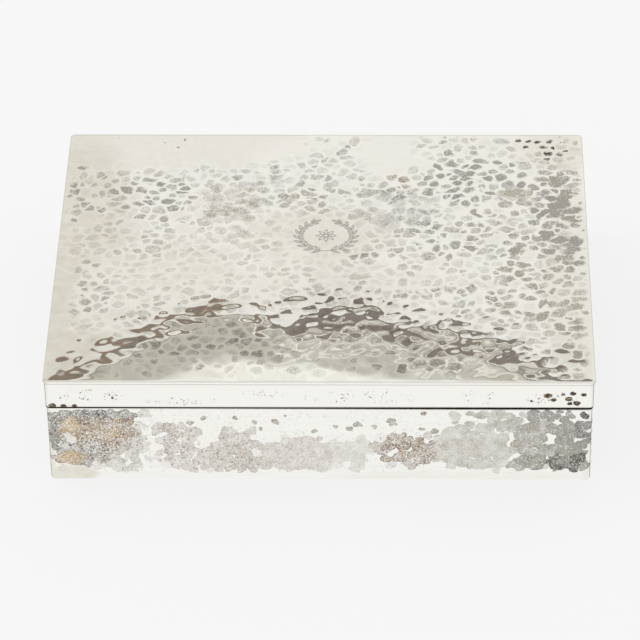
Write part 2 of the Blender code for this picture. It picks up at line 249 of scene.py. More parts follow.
# Marks and tarnish on the front of the base: x, height, half width, half height, tarnish, tint, depth of
# the marks, how far they run together, how mixed the colours are
FRONT_REST = (0.0, 0.30, 1.0, 0.30, 0.20)
FRONT_PATCHES = (
    (-82, 20.5, 17, 13, 1.12, 0.36, 1, 1.4, 1), (-89, 10.5, 9, 4.5, 1.1, 0.2, 1, 1.4, 1),
    (-88, 16, 8, 5, 0.8, 0.2, 1, 1.4, 1.1), (-82, 23, 14, 6, 1.02, 0.72, 1, 1.4, 0.9),
    (-92, 25, 5, 5, 0.98, 0.92, 1, 1.4, 0.6), (-74, 24, 8, 7, 0.92, 0.72, 1, 1.4, 0.8),
    (-90, 10.5, 5, 2.8, 1.2, 0.93, 1, 1.3, 0.5), (-81, 30, 17, 2.6, 1.1, 0.26, 1, 1.25, 1),
    (-97, 22, 3.2, 11, 1.3, 0, 1, 1, 0.8), (-70, 9, 8, 7, 0.5, 0.4, 1, 1, 0.5),
    (-53, 22, 9, 7, 0.52, 0.55, 1, 0.7, 0.6), (-48, 10, 13, 7, 0.5, 0.52, 1, 0.75, 0.7),
    (-31, 20, 6, 5, 0.52, 0.46, 1, 1, 0.5), (-28, 11, 12, 8, 0.62, 0.5, 1, 1, 0.6),
    (-8, 12.5, 15, 9, 0.43, 0.6, 1, 1.3, 0.4), (12, 13, 8, 9, 0.4, 0.34, 1, 1.4, 0.2),
    (24, 14, 5, 6, 0.65, 0.65, 1, 0.9, 0.7), (33, 14, 13, 8, 0.8, 0.62, 1, 0.8, 0.8),
    (57, 15, 14, 13, 0.66, 0.26, 0.8, 1.1, 0.12), (60, 27, 14, 6, 0.76, 0.22, 0.8, 0.95, 0.12),
    (80, 20, 11, 13, 1.02, 0.14, 1, 1.07, 0.25), (93, 20, 8, 14, 1.35, -0.04, 1, 1.18, 0.35),
    (76, 8.5, 6, 4, 1.25, 0.1, 1, 1.2, 0.7), (91, 8.5, 8, 3.5, 1.35, -0.16, 1, 1.2, 0.4),
    (88, 30, 12, 3, 1.25, -0.06, 1, 0.6, 0.2),
)
# Single marks there: x, height, radius, tint
FRONT_SPOTS = (
    (-97.1, 30.4, 1.9, 0.05), (-97.3, 27.8, 1.7, -0.05), (-97.4, 25.2, 1.7, 0), (-97.4, 22.6, 1.7, -0.1),
    (-97.3, 20, 1.7, 0), (-97.3, 17.4, 1.7, -0.05), (-97, 14.8, 1.7, 0.05), (-95, 12.4, 1.7, 0.2),
    (-93, 31, 2.2, 0), (-88.8, 31.1, 2.1, 0.05), (-84.4, 31, 2.2, -0.05), (-80.1, 31.2, 2, -0.1),
    (-75.9, 31, 2.1, 0.05), (-71.4, 31.1, 2, 0.1), (-67.6, 30.4, 1.5, 0.15), (-90.8, 10.8, 2.1, 0.9),
    (-87, 9.8, 1.9, 0.8), (-94.6, 27.2, 2.2, 0.4), (-90.6, 27.6, 2.1, 0.92), (-86.4, 27.4, 2.1, 0.6),
    (-82.3, 27.6, 2.1, 0.45), (-78, 27.5, 2.1, 0.55), (-73.8, 27.6, 2.1, 0.72), (-69.6, 27.2, 2, 0.6),
    (-94.2, 23.4, 2.2, 0.75), (-94, 19.4, 2.1, 0.35), (-93.4, 15.6, 2.1, 0.25), (-89.4, 14.9, 2.1, 0.25),
    (54.9, 31.3, 1.5, 0.22), (61.9, 30.6, 2.1, 0.26), (69, 30.3, 1.9, 0.16), (74.4, 30.8, 1.7, 0.1),
    (81.4, 30.4, 2.2, -0.02), (86.8, 29.8, 1.7, 0), (91.3, 30.6, 1.9, 0.08), (96.6, 30.6, 1.8, -0.2),
    (49.5, 27.2, 1.3, 0.12), (67.7, 26.2, 2.6, 0.2), (77.2, 25.3, 2.8, 0.16), (85, 24.6, 3.1, 0.06),
    (90.4, 26.2, 2.3, 0.08), (95.4, 26.4, 2.2, -0.08), (95.1, 21.6, 2.7, -0.1), (60.2, 24.4, 3, 0.28),
    (52.4, 23.8, 2.9, 0.3), (80.6, 19.6, 2.9, 0.2), (88.3, 18.8, 2.6, 0), (72.6, 17.3, 2.6, 0.28),
    (95.6, 16.2, 2.3, -0.04), (90.6, 13.6, 2.5, 0.1), (82.6, 12.9, 2.6, 0.18), (75.2, 8.9, 3.1, 0),
    (89, 9, 2.6, -0.08), (94.9, 10.4, 2.3, -0.18), (93.2, 5.2, 1.8, -0.3), (83.2, 6.6, 1.4, 0),
    (86.2, 4.3, 0.7, -0.2), (68, 7.9, 2, 0.26), (-31, 29, 1.5, 0.4), (-24, 27, 1.4, 0.4),
    (-21, 24, 1.2, 0.3), (-12, 30, 0.9, 0.2), (-16, 27, 1.5, 0.4), (6, 25, 1.5, 0.05), (11, 24, 1.6, 0.1),
    (14, 26, 1.6, 0.05), (-2, 23, 1.3, 0.4), (20, 25, 1.3, 0.3), (26, 28, 1.7, 0.15), (27, 26, 1.4, 0.2),
    (37, 24, 1.4, 0.2), (38, 31, 1.2, 0.6), (42, 23, 1.6, 0.2), (-42, 29, 1.6, 0.4), (-47, 27, 1.3, 0.4),
)
# Thin yellow film there: x, height, half width, half height, share
FRONT_FILM = (
    (-92, 2.5, 10, 4, 0.32), (-99, 15, 1.8, 18, 0.3), (98.5, 12, 2.4, 20, 0.14), (50, 1.5, 45, 2.5, 0.08),
)
# Dark spots on the lid's front: x, height, radius
BAND_SPOTS = (
    (-97, 34.9, 1.5), (-93, 34.7, 1.3), (-89, 34.8, 1.1), (-94, 38.5, 0.5), (-76, 40, 0.5),
    (-75, 38.5, 0.6), (77, 37.5, 0.7), (83, 40, 1.6), (85, 38, 1.2), (90.5, 38.5, 1.5), (92, 41, 1.3),
    (93.5, 36.5, 1.6), (96, 40.5, 1.2), (88.5, 40.5, 0.8), (91, 36.3, 1.1),
)
# Clusters of pin pricks there: x, height, half width, half height
BAND_CLOUDS = (
    (-82, 39.5, 14, 4), (-50, 37, 18, 2.2), (16, 39, 26, 3.8), (58, 39, 9, 4), (-20, 40.5, 10, 2.5),
    (84, 38.5, 12, 4),
)
# What the lid mirrors, by bearing in degrees: height of the dark outline, thickness of its brown part,
# and height at which the glow below it begins
OUTLINE = (
    (-8, 38.85), (-6.7, 38.7), (-6.2, 38.42), (-5.6, 38.5), (-5.2, 38.45), (-4.6, 38.42), (-3.85, 38.75),
    (-3.2, 39.08), (-2.7, 39.55), (-2.2, 39.48), (-1.8, 39.15), (-1.3, 39.1), (-0.9, 38.98), (-0.4, 38.62),
    (0, 39.05), (0.4, 39.42), (1, 39.2), (1.6, 39.08), (2.1, 38.88), (2.5, 38.8), (2.7, 38.82),
    (3.2, 38.74), (5, 38.9),
)
THICKNESS = (
    (-8, 0.18), (-3.4, 0.18), (-2.7, 0.3), (-2.1, 0.58), (-1.6, 0.7), (-0.4, 0.75), (0.1, 0.5), (0.8, 0.26),
    (1.6, 0.18), (5, 0.14),
)
GLOW = (
    (-8, 40.5), (-5.6, 40.2), (-4.3, 40.1), (-3.2, 40.6), (-2, 40.95), (-1, 41.12), (0, 41.14),
    (0.8, 40.52), (1.6, 40.14), (3, 39.82), (5, 39.9),
)
BEARINGS = (-8.0, 5.0)
BROWN_SHARE = 0.14
# Colours from that outline on, in the middle and at the left: depth, red, green, blue
DEPTHS = (-0.5, 2.0)
MIRRORED_MIDDLE = (
    (-0.5, 0.9, 0.89, 0.86), (-0.02, 0.84, 0.83, 0.8), (0, 0.13, 0.11, 0.095), (0.02, 0.235, 0.2, 0.18),
    (0.14, 0.29, 0.255, 0.23), (0.16, 0.14, 0.13, 0.12), (0.19, 0.84, 0.82, 0.76), (0.27, 0.8, 0.78, 0.72),
    (0.29, 0.2, 0.18, 0.16), (0.33, 0.33, 0.3, 0.27), (0.37, 0.64, 0.62, 0.56), (0.5, 0.62, 0.6, 0.54),
    (0.53, 0.88, 0.86, 0.8), (0.61, 0.86, 0.84, 0.78), (0.64, 0.38, 0.36, 0.32), (0.7, 0.6, 0.58, 0.53),
    (0.88, 0.64, 0.62, 0.57), (0.91, 0.88, 0.86, 0.81), (0.98, 0.86, 0.84, 0.79), (1.01, 0.57, 0.56, 0.51),
    (1.6, 0.59, 0.58, 0.53), (2, 0.66, 0.65, 0.59),
)
MIRRORED_LEFT = (
    (-0.5, 0.9, 0.89, 0.86), (-0.02, 0.86, 0.85, 0.82), (0, 0.1, 0.06, 0.04), (0.015, 0.42, 0.26, 0.14),
    (0.035, 0.29, 0.235, 0.195), (0.13, 0.26, 0.23, 0.205), (0.15, 0.38, 0.26, 0.155),
    (0.17, 0.06, 0.05, 0.05), (0.2, 0.86, 0.85, 0.79), (0.33, 0.82, 0.81, 0.75), (0.37, 0.2, 0.19, 0.17),
    (0.41, 0.58, 0.56, 0.5), (0.95, 0.55, 0.535, 0.48), (1.4, 0.58, 0.565, 0.51), (2, 0.66, 0.645, 0.59),
)
# Colours of the other surroundings by height, as a share of a right angle
SURROUNDINGS = (
    (0, 0.93, 0.93, 0.92), (0.12, 0.7, 0.7, 0.69), (0.22, 0.93, 0.93, 0.91), (0.33, 0.66, 0.66, 0.64),
    (0.44, 0.93, 0.92, 0.9), (0.55, 0.7, 0.69, 0.67), (0.66, 0.95, 0.95, 0.93), (0.84, 0.8, 0.8, 0.78),
    (1, 0.97, 0.97, 0.95),
)


def amount_choice(name, description, default, **limits):
    """A number of zero or more that a user may change."""
    return FloatProperty(name=name, description=description, default=default, **{"min": 0.0, **limits})


def size_choice(name, description, default, low=0.0):
    """A length that a user may change."""
    return amount_choice(name, description, default, min=low, unit="LENGTH", precision=6)


def share_choice(name, description, default):
    """A share of one that a user may change."""
    return amount_choice(name, description, default, max=1.0, subtype="FACTOR")


def colour_choice(name, description, *default):
    """A colour that a user may change."""
    return FloatVectorProperty(name=name, description=description, default=default, min=0.0, max=1.0,
                               subtype="COLOR")


def place_choice(name, description, *default):
    """A place that a user may change."""
    return FloatVectorProperty(name=name, description=description, default=default, subtype="XYZ",
                               unit="LENGTH")


class HammerMarks(bpy.types.PropertyGroup):
    """Size and spacing of the hammer marks."""

    spacing: size_choice("Spacing", "Distance from one hammer mark to the next", 3.8 * MM, 1.0 * MM)
    radius: size_choice("Radius", "Usual radius of a hammer mark", 2.15 * MM, 0.3 * MM)
    lid_depth: size_choice("Depth on the lid", "Depth of a hammer mark in the lid's top", 0.0115 * MM)
    wall_depth: size_choice("Depth on the walls", "Depth of a hammer mark in the base's walls", 0.035 * MM)
    unevenness: amount_choice("Unevenness", "Steepness of the broad ripples in the lid's top", 0.0010,
                              precision=5)
    seed: IntProperty(name="Seed", description="Another number lays the marks out anew", default=7)


class SilverFinish(bpy.types.PropertyGroup):
    """Colours and polish of the silver and its tarnish."""

    polished: colour_choice("Polished silver", "Colour of the bright metal", 0.965, 0.958, 0.915)
    grey: colour_choice("Grey tarnish", "Colour of cool grey tarnish", 0.362, 0.359, 0.332)
    beige: colour_choice("Beige tarnish", "Colour of warm grey tarnish", 0.445, 0.418, 0.345)
    brown: colour_choice("Brown tarnish", "Colour of brown tarnish", 0.335, 0.25, 0.185)
    golden: colour_choice("Golden tarnish", "Colour of thin golden tarnish", 0.60, 0.465, 0.29)
    haze: share_choice("Haze", "Share of tarnish on the flat metal between the marks", 0.16)
    polish: share_choice("Polish", "Roughness of the bright metal", 0.010)
    dullness: share_choice("Dullness", "Roughness of full tarnish", 0.030)


class CedarFinish(bpy.types.PropertyGroup):
    """Colours and grain of the cedar."""

    early: colour_choice("Early wood", "Colour of the pale part of a year ring", 0.50, 0.27, 0.14)
    late: colour_choice("Late wood", "Colour of the dark part of a year ring", 0.30, 0.13, 0.06)
    ring: size_choice("Ring width", "Usual width of a year ring", 2.6 * MM, 0.2 * MM)
    edge: size_choice("Edge rounding", "Rounding of the panels' edges", 0.25 * MM)


class StudioSetup(bpy.types.PropertyGroup):
    """Floor, light and camera."""

    floor: colour_choice("Floor", "Colour of the floor and backdrop", 0.94, 0.94, 0.94)
    sky: amount_choice("Sky", "Strength of the soft light from all round", 0.86)
    key: amount_choice("Key light", "Power of the soft lamp on the left", 7.0)
    lens: amount_choice("Lens", "Focal length of the camera in millimetres", 223.15, min=1.0)
    camera: place_choice("Camera", "Place of the camera", 0.0321, -1.19489, 0.94511)
    target: place_choice("Target", "Point in the middle of the picture", -0.0002, -0.04082, 0.046)
    roll: FloatProperty(name="Roll", description="Tilt of the camera about its own line of sight",
                        default=math.radians(-0.879), subtype="ANGLE")


def smooth(value):
    """Smooth step of values between 0 and 1."""
    value = np.clip(value, 0.0, 1.0)
    return value * value * (3 - 2 * value)


def region_values(rest, patches, x, y):
    """Values at places, in millimetres: those of the rest, which change softly to each patch's own."""
    x, y = np.asarray(x, float), np.asarray(y, float)
    values = np.zeros((*x.shape, len(rest))) + np.array(rest)
    for px, py, half_x, half_y, *there in patches:
        reach = np.hypot((x - px) / half_x, (y - py) / half_y)
        share = smooth((PATCH_REACH - reach) / PATCH_FADE)[..., None]
        values += (np.array(there) - values) * share
    return values


def slow_wave(x, y, seed, lengths):
    """A smooth unevenness made of ripples, one of each length, every one as steep as the next."""
    rng = np.random.default_rng(seed)
    height = np.zeros(len(x))
    for length in lengths:
        heading, phase = rng.uniform(0, math.pi), rng.uniform(0, 2 * math.pi)
        turn = 2 * math.pi / length
        height += np.sin(turn * (x * math.cos(heading) + y * math.sin(heading)) + phase) / turn
    return height


class HammerWork:
    """The hammer marks of one flat sheet: ovals with a depth, a tarnish and a tint."""

    def __init__(self):
        far = 1.0
        self.rows = [(far, far, MM, MM, 0.0, 0.0, 0.0, 0.0)]

    def strike(self, x, y, radius, depth, tarnish, tint, longer, heading):
        self.rows.append((x, y, radius * longer, radius / longer, heading, depth, tarnish, tint))

    def nearest(self, x, y):
        """The marks nearest to places, each measured by its own radii, with those distances."""
        marks = np.array(self.rows)
        chosen = np.zeros((len(x), NEAR_MARKS), int)
        reach = np.full((len(x), NEAR_MARKS), NO_MARK)
        tiles = np.column_stack([np.floor(x / TILE), np.floor(y / TILE)]).astype(int)
        for tile in np.unique(tiles, axis=0):
            here = np.flatnonzero((tiles == tile).all(1))
            middle = (tile + 0.5) * TILE
            close = np.flatnonzero((np.abs(marks[:, :2] - middle) < 1.4 * TILE).all(1))
            close = np.append(close, np.zeros(NEAR_MARKS, int))
            across, up, long, short, heading = marks[close, :5].T
            across, up = x[here, None] - across, y[here, None] - up
            forward = across * np.cos(heading) + up * np.sin(heading)
            aside = up * np.cos(heading) - across * np.sin(heading)
            around = np.minimum(np.hypot(forward / long, aside / short), NO_MARK)
            order = np.argsort(around, axis=1, kind="stable")[:, :NEAR_MARKS]
            chosen[here] = close[order]
            reach[here] = np.take_along_axis(around, order, 1)
        return chosen, reach

    def sunk(self, x, y):
        """How deep the sheet lies at places. Each mark is a shallow bowl."""
        chosen, reach = self.nearest(x, y)
        depth = np.array(self.rows)[chosen, 5]
        return (depth * np.clip(1 - reach**2, 0, None) ** 2).max(1)

    def tell(self, mesh, x, y, locate):
        """Gives each face its nearest marks, for the material. locate turns plan places into 3D ones."""
        chosen, _ = self.nearest(x, y)
        marks = np.array(self.rows)
        for number in range(NEAR_MARKS):
            mx, my, long, short, heading, _, tarnish, tint = marks[chosen[:, number]].T
            middle = locate(mx, my)
            ahead = (locate(mx + np.cos(heading) * MM, my + np.sin(heading) * MM) - middle) / MM
            stretch = ahead * np.sqrt(1 / short**2 - 1 / long**2)[:, None]
            lore = np.column_stack([1 / short**2, tarnish, tint])
            for name, values in (("mark", middle), ("stretch", stretch), ("lore", lore)):
                whole = np.zeros((len(mesh.polygons), 3), np.float32)
                whole[:len(values)] = values
                layer = mesh.attributes.new(f"{name}_{number}", "FLOAT_VECTOR", "FACE")
                layer.data.foreach_set("vector", whole.ravel())


def scattered_places(low, high, spacing, rng):
    """Places in rows that are set off by half a step, each moved a little at random."""
    places = []
    row_step = spacing * math.sqrt(3) / 2
    rows = int((high[1] - low[1]) / row_step) + 2
    columns = int((high[0] - low[0]) / spacing) + 2
    for row in range(rows):
        for column in range(columns):
            shift = rng.uniform(-0.36, 0.36, 2) * spacing
            x = low[0] + (column + 0.5 * (row % 2)) * spacing + shift[0]
            places.append((x, low[1] + row * row_step + shift[1]))
    return np.array(places)


def hammered_work(low, high, marks, way, depth, rest, patches, spots):
    """Strikes single marks and then scattered ones over a sheet, where they find room."""
    rng = np.random.default_rng(marks.seed)
    work = HammerWork()
    for x, y, radius, sunk, tarnish, tint in spots:
        longer, heading = rng.uniform(1.0, 1.3), rng.uniform(-0.4, 0.7)
        work.strike(x * MM, y * MM, radius * MM, sunk * MM, tarnish, tint, longer, heading + way.lean)
    taken = np.array([row[:3] for row in work.rows])
    places = scattered_places(low, high, marks.spacing * way.spread, rng)
    regions = region_values(rest, patches, places[:, 0] / MM, places[:, 1] / MM)
    cluster = slow_wave(places[:, 0], places[:, 1], marks.seed + 3, CLUSTER_LENGTHS)
    cluster /= cluster.std()
    left, right, bottom, top = way.margins
    for (x, y), (tarnish, tint, relief, joined, *_), swell in zip(places, regions, cluster):
        draw = rng.uniform(0, 1, 7)
        radius = marks.radius * way.growth * (0.66 + 0.75 * draw[0] ** 1.3) * (0.92 + 0.36 * joined)
        room = min(x - low[0] - left, high[0] - right - x, y - low[1] - bottom, high[1] - top - y)
        radius = min(radius, room + 0.7 * marks.radius)
        crowded = np.hypot(x - taken[:, 0], y - taken[:, 1]) < 0.65 * taken[:, 2] + 0.3 * radius
        if radius < 0.4 * marks.radius or crowded.any():
            continue
        uneven = way.variety * (1.0 - 0.5 * joined)
        weight = tarnish * (1 + uneven * (1.15 * (draw[1] - 0.5) + 0.2 * swell))
        if draw[2] < 0.10 * uneven:
            weight *= 0.3
        if tarnish < way.cut * (0.6 + 0.8 * draw[2]):
            weight = 0.0
        warm = tint + 0.22 * way.variety * (draw[3] - 0.5)
        sunk = depth * relief * (0.35 + 0.6 * draw[0] + 1.5 * draw[4] ** 9)
        heading = math.pi * (0.66 * draw[6] - 0.24) + way.lean
        work.strike(x, y, radius, sunk, max(weight, 0.0), warm, 1.0 + 0.4 * draw[5], heading)
    return work


def placed(name, data):
    """A new object in the scene."""
    obj = bpy.data.objects.new(name, data)
    bpy.context.scene.collection.objects.link(obj)
    return obj


def new_piece(name, mesh, material, body, slot, node):
    """A new piece of the casket that stands for a CAD node."""
    piece = placed(name, mesh)
    mesh.materials.clear()
    mesh.materials.append(material)
    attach(piece, body)
    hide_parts(node)


def meshed(name, points, faces):
    """A mesh of points and faces."""
    mesh = bpy.data.meshes.new(name)
    mesh.from_pydata(points, [], faces)
    return mesh


def cut_mesh(name, mesh, cutter, operation="DIFFERENCE"):
    """A mesh after one Boolean."""
    obj = placed(name, mesh)
    modifier = obj.modifiers.new("Cut", "BOOLEAN")
    modifier.operation = operation
    modifier.solver = "EXACT"
    modifier.object = cutter
    bpy.context.view_layer.update()
    graph = bpy.context.evaluated_depsgraph_get()
    cut = bpy.data.meshes.new_from_object(obj.evaluated_get(graph))
    bpy.data.objects.remove(obj)
    return cut


def prism(name, outline, direction):
    """A closed solid from a flat outline of points, drawn out along a direction. It only serves to cut."""
    shape = bmesh.new()
    face = shape.faces.new([shape.verts.new(point) for point in outline])
    drawn = bmesh.ops.extrude_face_region(shape, geom=[face], use_keep_orig=True)
    moved = [part for part in drawn["geom"] if isinstance(part, bmesh.types.BMVert)]
    bmesh.ops.translate(shape, verts=moved, vec=direction)
    bmesh.ops.recalc_face_normals(shape, faces=shape.faces)
    mesh = bpy.data.meshes.new(name)
    shape.to_mesh(mesh)
    shape.free()
    return placed(name, mesh)


def arc(centre, radius, start, end, steps):
    """Points along an arc, both ends included, with its angles in degrees."""
    angles = np.radians(np.linspace(start, end, steps + 1))
    return [(centre[0] + radius * math.cos(a), centre[1] + radius * math.sin(a)) for a in angles]


def groove_cutter():
    """The keyhole in which the barrel turns, with the two stop bevels behind it."""
    degrees = math.degrees(STOP_BEVEL)
    reach = KNUCKLE_RADIUS + CUTTER_OVERRUN
    rise = reach * math.tan(STOP_BEVEL)
    keyhole = arc((0, 0), GROOVE_RADIUS, degrees, 360 - degrees, GROOVE_STEPS)
    keyhole += [(reach, -rise), (reach, rise)]
    half_length = LID_HALF.x + CUTTER_OVERRUN
    outline = [(-half_length, AXIS_Y + y, AXIS_Z + z) for y, z in keyhole]
    return prism("groove_cutter", outline, (2 * half_length, 0, 0))


def set_fields(mesh, **fields):
    """Stores numbers per vertex for the material to read. Vertices beyond those given get none."""
    for name, values in fields.items():
        whole = np.zeros(len(mesh.vertices), np.float32)
        whole[:len(values)] = values
        mesh.attributes.new(name, "FLOAT", "POINT").data.foreach_set("value", whole)


def places_of(parts, what):
    """The place of each vertex or face as an array."""
    places = np.zeros(len(parts) * 3, np.float32)
    parts.foreach_get(what, places)
    return places.reshape(-1, 3).astype(float)


def finish_shading(mesh):
    """Smooth shading with sharp edges where the surface turns."""
    mesh.shade_smooth()
    mesh.set_sharp_from_angle(angle=SHARP_ANGLE)


def wall_path(half_length, half_depth):
    """Plan of a mitred front wall: points along its outside, their outward directions, and its inside."""
    seam_angle = math.degrees(SEAM / CORNER_RADIUS)
    corner_x, corner_y = half_length - CORNER_RADIUS, CORNER_RADIUS - half_depth
    count = int(round(2 * corner_x / WALL_STEP))
    places, outward = [], []
    for side, start, end in ((-1, 225 + seam_angle, 270), (1, 270, 315 - seam_angle)):
        if side == 1:
            for share in np.linspace(0, 1, count + 1)[1:-1]:
                places.append(((2 * share - 1) * corner_x, corner_y))
                outward.append((0.0, -1.0))
        places += [(side * corner_x, corner_y)] * (CORNER_STEPS + 1)
        outward += arc((0, 0), 1, start, end, CORNER_STEPS)
    outward = np.array(outward)
    outer = np.array(places) + outward * CORNER_RADIUS
    along = np.concatenate([[0], np.cumsum(np.hypot(*np.diff(outer, axis=0).T))])
    inner_x = (2 * along / along[-1] - 1) * (half_length - WALL_SHEET - SEAM)
    return outer, outward, np.column_stack([inner_x, np.full(len(along), WALL_SHEET - half_depth)])


def wall_mesh(name, half_length, half_depth, low, high, sink):
    """A front wall as a closed sheet. sink gives how deep its outside lies at x and height."""
    outer, outward, inner = wall_path(half_length, half_depth)
    columns = len(outer)
    rows = max(2, int(round((high - low - 2 * EDGE_ROUND) / WALL_STEP)))
    corner = EDGE_ROUND * (1 - math.sqrt(0.5))
    rings = [(low, EDGE_ROUND), (low + corner, corner)]
    rings += [(height, 0.0) for height in np.linspace(low + EDGE_ROUND, high - EDGE_ROUND, rows + 1)]
    rings += [(high - corner, corner), (high, EDGE_ROUND)]
    points = []
    for height, inset in rings:
        depth = inset + sink(outer[:, 0], np.full(columns, height))
        points.append(np.column_stack([outer - outward * depth[:, None], np.full(columns, height)]))
    points += [np.column_stack([inner, np.full(columns, height)]) for height in (high, low)]
    faces = []
    for ring in range(len(points)):
        after = (ring + 1) % len(points)
        for column in range(columns - 1):
            first, second = ring * columns + column, after * columns + column
            faces.append((first, first + 1, second + 1, second))
    faces.append([ring * columns for ring in range(len(points))])
    faces.append([ring * columns + columns - 1 for ring in reversed(range(len(points)))])
    return meshed(name, np.concatenate(points).tolist(), faces)


def corner_mapped(x, y, half, radius):
    """Draws the corners of a rectangular grid in to a round of the given radius."""
    across = np.clip((np.abs(x) - half.x + radius) / radius, 0, 1)
    along = np.clip((np.abs(y) - half.y + radius) / radius, 0, 1)
    reach = np.maximum(across, along)
    smaller = np.minimum(across, along)
    turn = np.pi / 4 * np.divide(smaller, reach, out=np.zeros_like(reach), where=reach > 0)
    angle = np.where(across >= along, turn, np.pi / 2 - turn)
    inside = (across > 0) & (along > 0)
    new_x = np.where(inside, np.sign(x) * (half.x - radius + radius * reach * np.cos(angle)), x)
    new_y = np.where(inside, np.sign(y) * (half.y - radius + radius * reach * np.sin(angle)), y)
    return new_x, new_y


def grid_place(addresses, half, radius):
    """Plan places of grid addresses inside a round-cornered rectangle."""
    i, j = np.array(list(addresses), float).T
    return corner_mapped((i / WIDE * 2 - 1) * half.x, (j / DEEP * 2 - 1) * half.y, half, radius)


def dome_height(x, y):
    """How far the top's dome stands above its edge."""
    across = np.clip(1 - (x / TOP_HALF.x) ** 2, 0, None)
    along = np.clip(1 - (y / TOP_HALF.y) ** 2, 0, None)
    return DOME_RISE * across**2 * along


def cell_outline(i, j, size, fine=(), step=1):
    """Addresses round one cell, anticlockwise. Sides named in fine have a point at every step."""
    sides = (("low", i, j, 1, 0), ("right", i + size, j, 0, 1),
             ("high", i + size, j + size, -1, 0), ("left", i, j + size, 0, -1))
    return [(start_i + step_i * along, start_j + step_j * along)
            for side, start_i, start_j, step_i, step_j in sides
            for along in range(0, size, step if side in fine else size)]


def top_lattice(left, right, low, high):
    """Vertices by address and faces of the lid's top, with small cells inside a window of whole ones."""
    index, faces = {}, []
    for column in range(TOP_COLUMNS):
        for row in range(TOP_ROWS):
            i, j = column * FINE_CUTS, row * FINE_CUTS
            in_columns, in_rows = left <= column < right, low <= row < high
            if in_columns and in_rows:
                cells = [cell_outline(i + a, j + b, 1) for a in range(FINE_CUTS) for b in range(FINE_CUTS)]
            else:
                beside = {"right": in_rows and column == left - 1, "left": in_rows and column == right,
                          "high": in_columns and row == low - 1, "low": in_columns and row == high}
                cells = [cell_outline(i, j, FINE_CUTS, [side for side in beside if beside[side]])]
            for cell in cells:
                faces.append([index.setdefault(address, len(index)) for address in cell])
    return index, faces


def border_addresses():
    """Addresses round the edge of the top's grid, anticlockwise."""
    step = FINE_CUTS
    return ([(i, 0) for i in range(0, WIDE, step)] + [(WIDE, j) for j in range(0, DEEP, step)]
            + [(i, DEEP) for i in range(WIDE, 0, -step)] + [(0, j) for j in range(DEEP, 0, -step)])


def underside(rim, first):
    """Coarse cells under the lid's top. rim gives the vertices on its edge, first the first free number."""
    index, faces, size = {}, [], UNDERSIDE_SIZE
    for i in range(0, WIDE, size):
        for j in range(0, DEEP, size):
            on_rim = {"low": j == 0, "right": i + size == WIDE, "high": j + size == DEEP, "left": i == 0}
            cell = cell_outline(i, j, size, [side for side in on_rim if on_rim[side]], FINE_CUTS)
            face = [rim[address] if address in rim else first + index.setdefault(address, len(index))
                    for address in cell]
            faces.append(face[::-1])
    return index, faces


def leaf_lines(root, direction, length, width):
    """The two sides and the rib of one leaf."""
    along = np.array([math.cos(direction), math.sin(direction)])
    across = np.array([-along[1], along[0]])
    shares = np.linspace(0, 1, 9)
    bulge = np.sin(np.pi * shares**0.8) * width
    lines = [root + np.outer(shares * length, along) + np.outer(bulge * side, across) for side in (-1, 1)]
    return [*lines, root + np.outer(np.array([0.15, 0.75]) * length, along)]


def wreath_lines():
    """Two laurel sprigs that curve up from a tie, with a rosette between them."""
    lines = []
    for side in (-1, 1):
        turns = np.radians(np.linspace(-97, 62, 26))
        stem = np.column_stack([side * STEM_HALF[0] * np.cos(turns), STEM_HALF[1] * np.sin(turns)])
        lines.append(stem)
        for number, share in enumerate(np.linspace(0.12, 0.97, LEAF_PAIRS)):
            place = share * (len(stem) - 1)
            before = min(int(place), len(stem) - 2)
            along = stem[before + 1] - stem[before]
            root = stem[before] + along * (place - before)
            heading = math.atan2(along[1], along[0])
            for turn in (-LEAF_TURN, LEAF_TURN):
                length = (3.6 - 0.12 * number) * MM
                lines += leaf_lines(root, heading + math.radians(turn), length, LEAF_WIDTH)
        lines += leaf_lines(stem[-1], heading, 3.2 * MM, 0.6 * MM)
    for petal in range(PETALS):
        direction = 2 * math.pi * petal / PETALS
        start = np.array([math.cos(direction), math.sin(direction)]) * 0.9 * MM
        lines += leaf_lines(start, direction, 3.0 * MM, LEAF_WIDTH)[:2]
    turns = np.linspace(0, 2 * math.pi, 17)
    return [*lines, 0.8 * MM * np.column_stack([np.cos(turns), np.sin(turns)])]


def engraving(x, y):
    """How far a place is inside an engraved line, from 0 to 1."""
    place = np.column_stack([x - WREATH_PLACE.x, y - WREATH_PLACE.y])
    nearest = np.full(len(place), 1.0)
    for line in wreath_lines():
        low, high = line.min(0) - LINE_WIDTH, line.max(0) + LINE_WIDTH
        close = np.flatnonzero(((place > low) & (place < high)).all(1))
        for start, end in zip(line[:-1], line[1:]):
            along = end - start
            rise = place[close] - start
            share = np.clip(rise @ along / max(along @ along, 1e-12), 0, 1)
            gap = np.hypot(*(rise - share[:, None] * along).T)
            nearest[close] = np.minimum(nearest[close], gap)
    return smooth(1 - nearest / (0.5 * LINE_WIDTH))


def edge_directions(edge, half, radius):
    """Outward directions at points on a round-cornered rectangle."""
    core = np.array(half) - radius
    outward = edge - np.clip(edge, -core, core)
    return outward / np.hypot(*outward.T)[:, None]


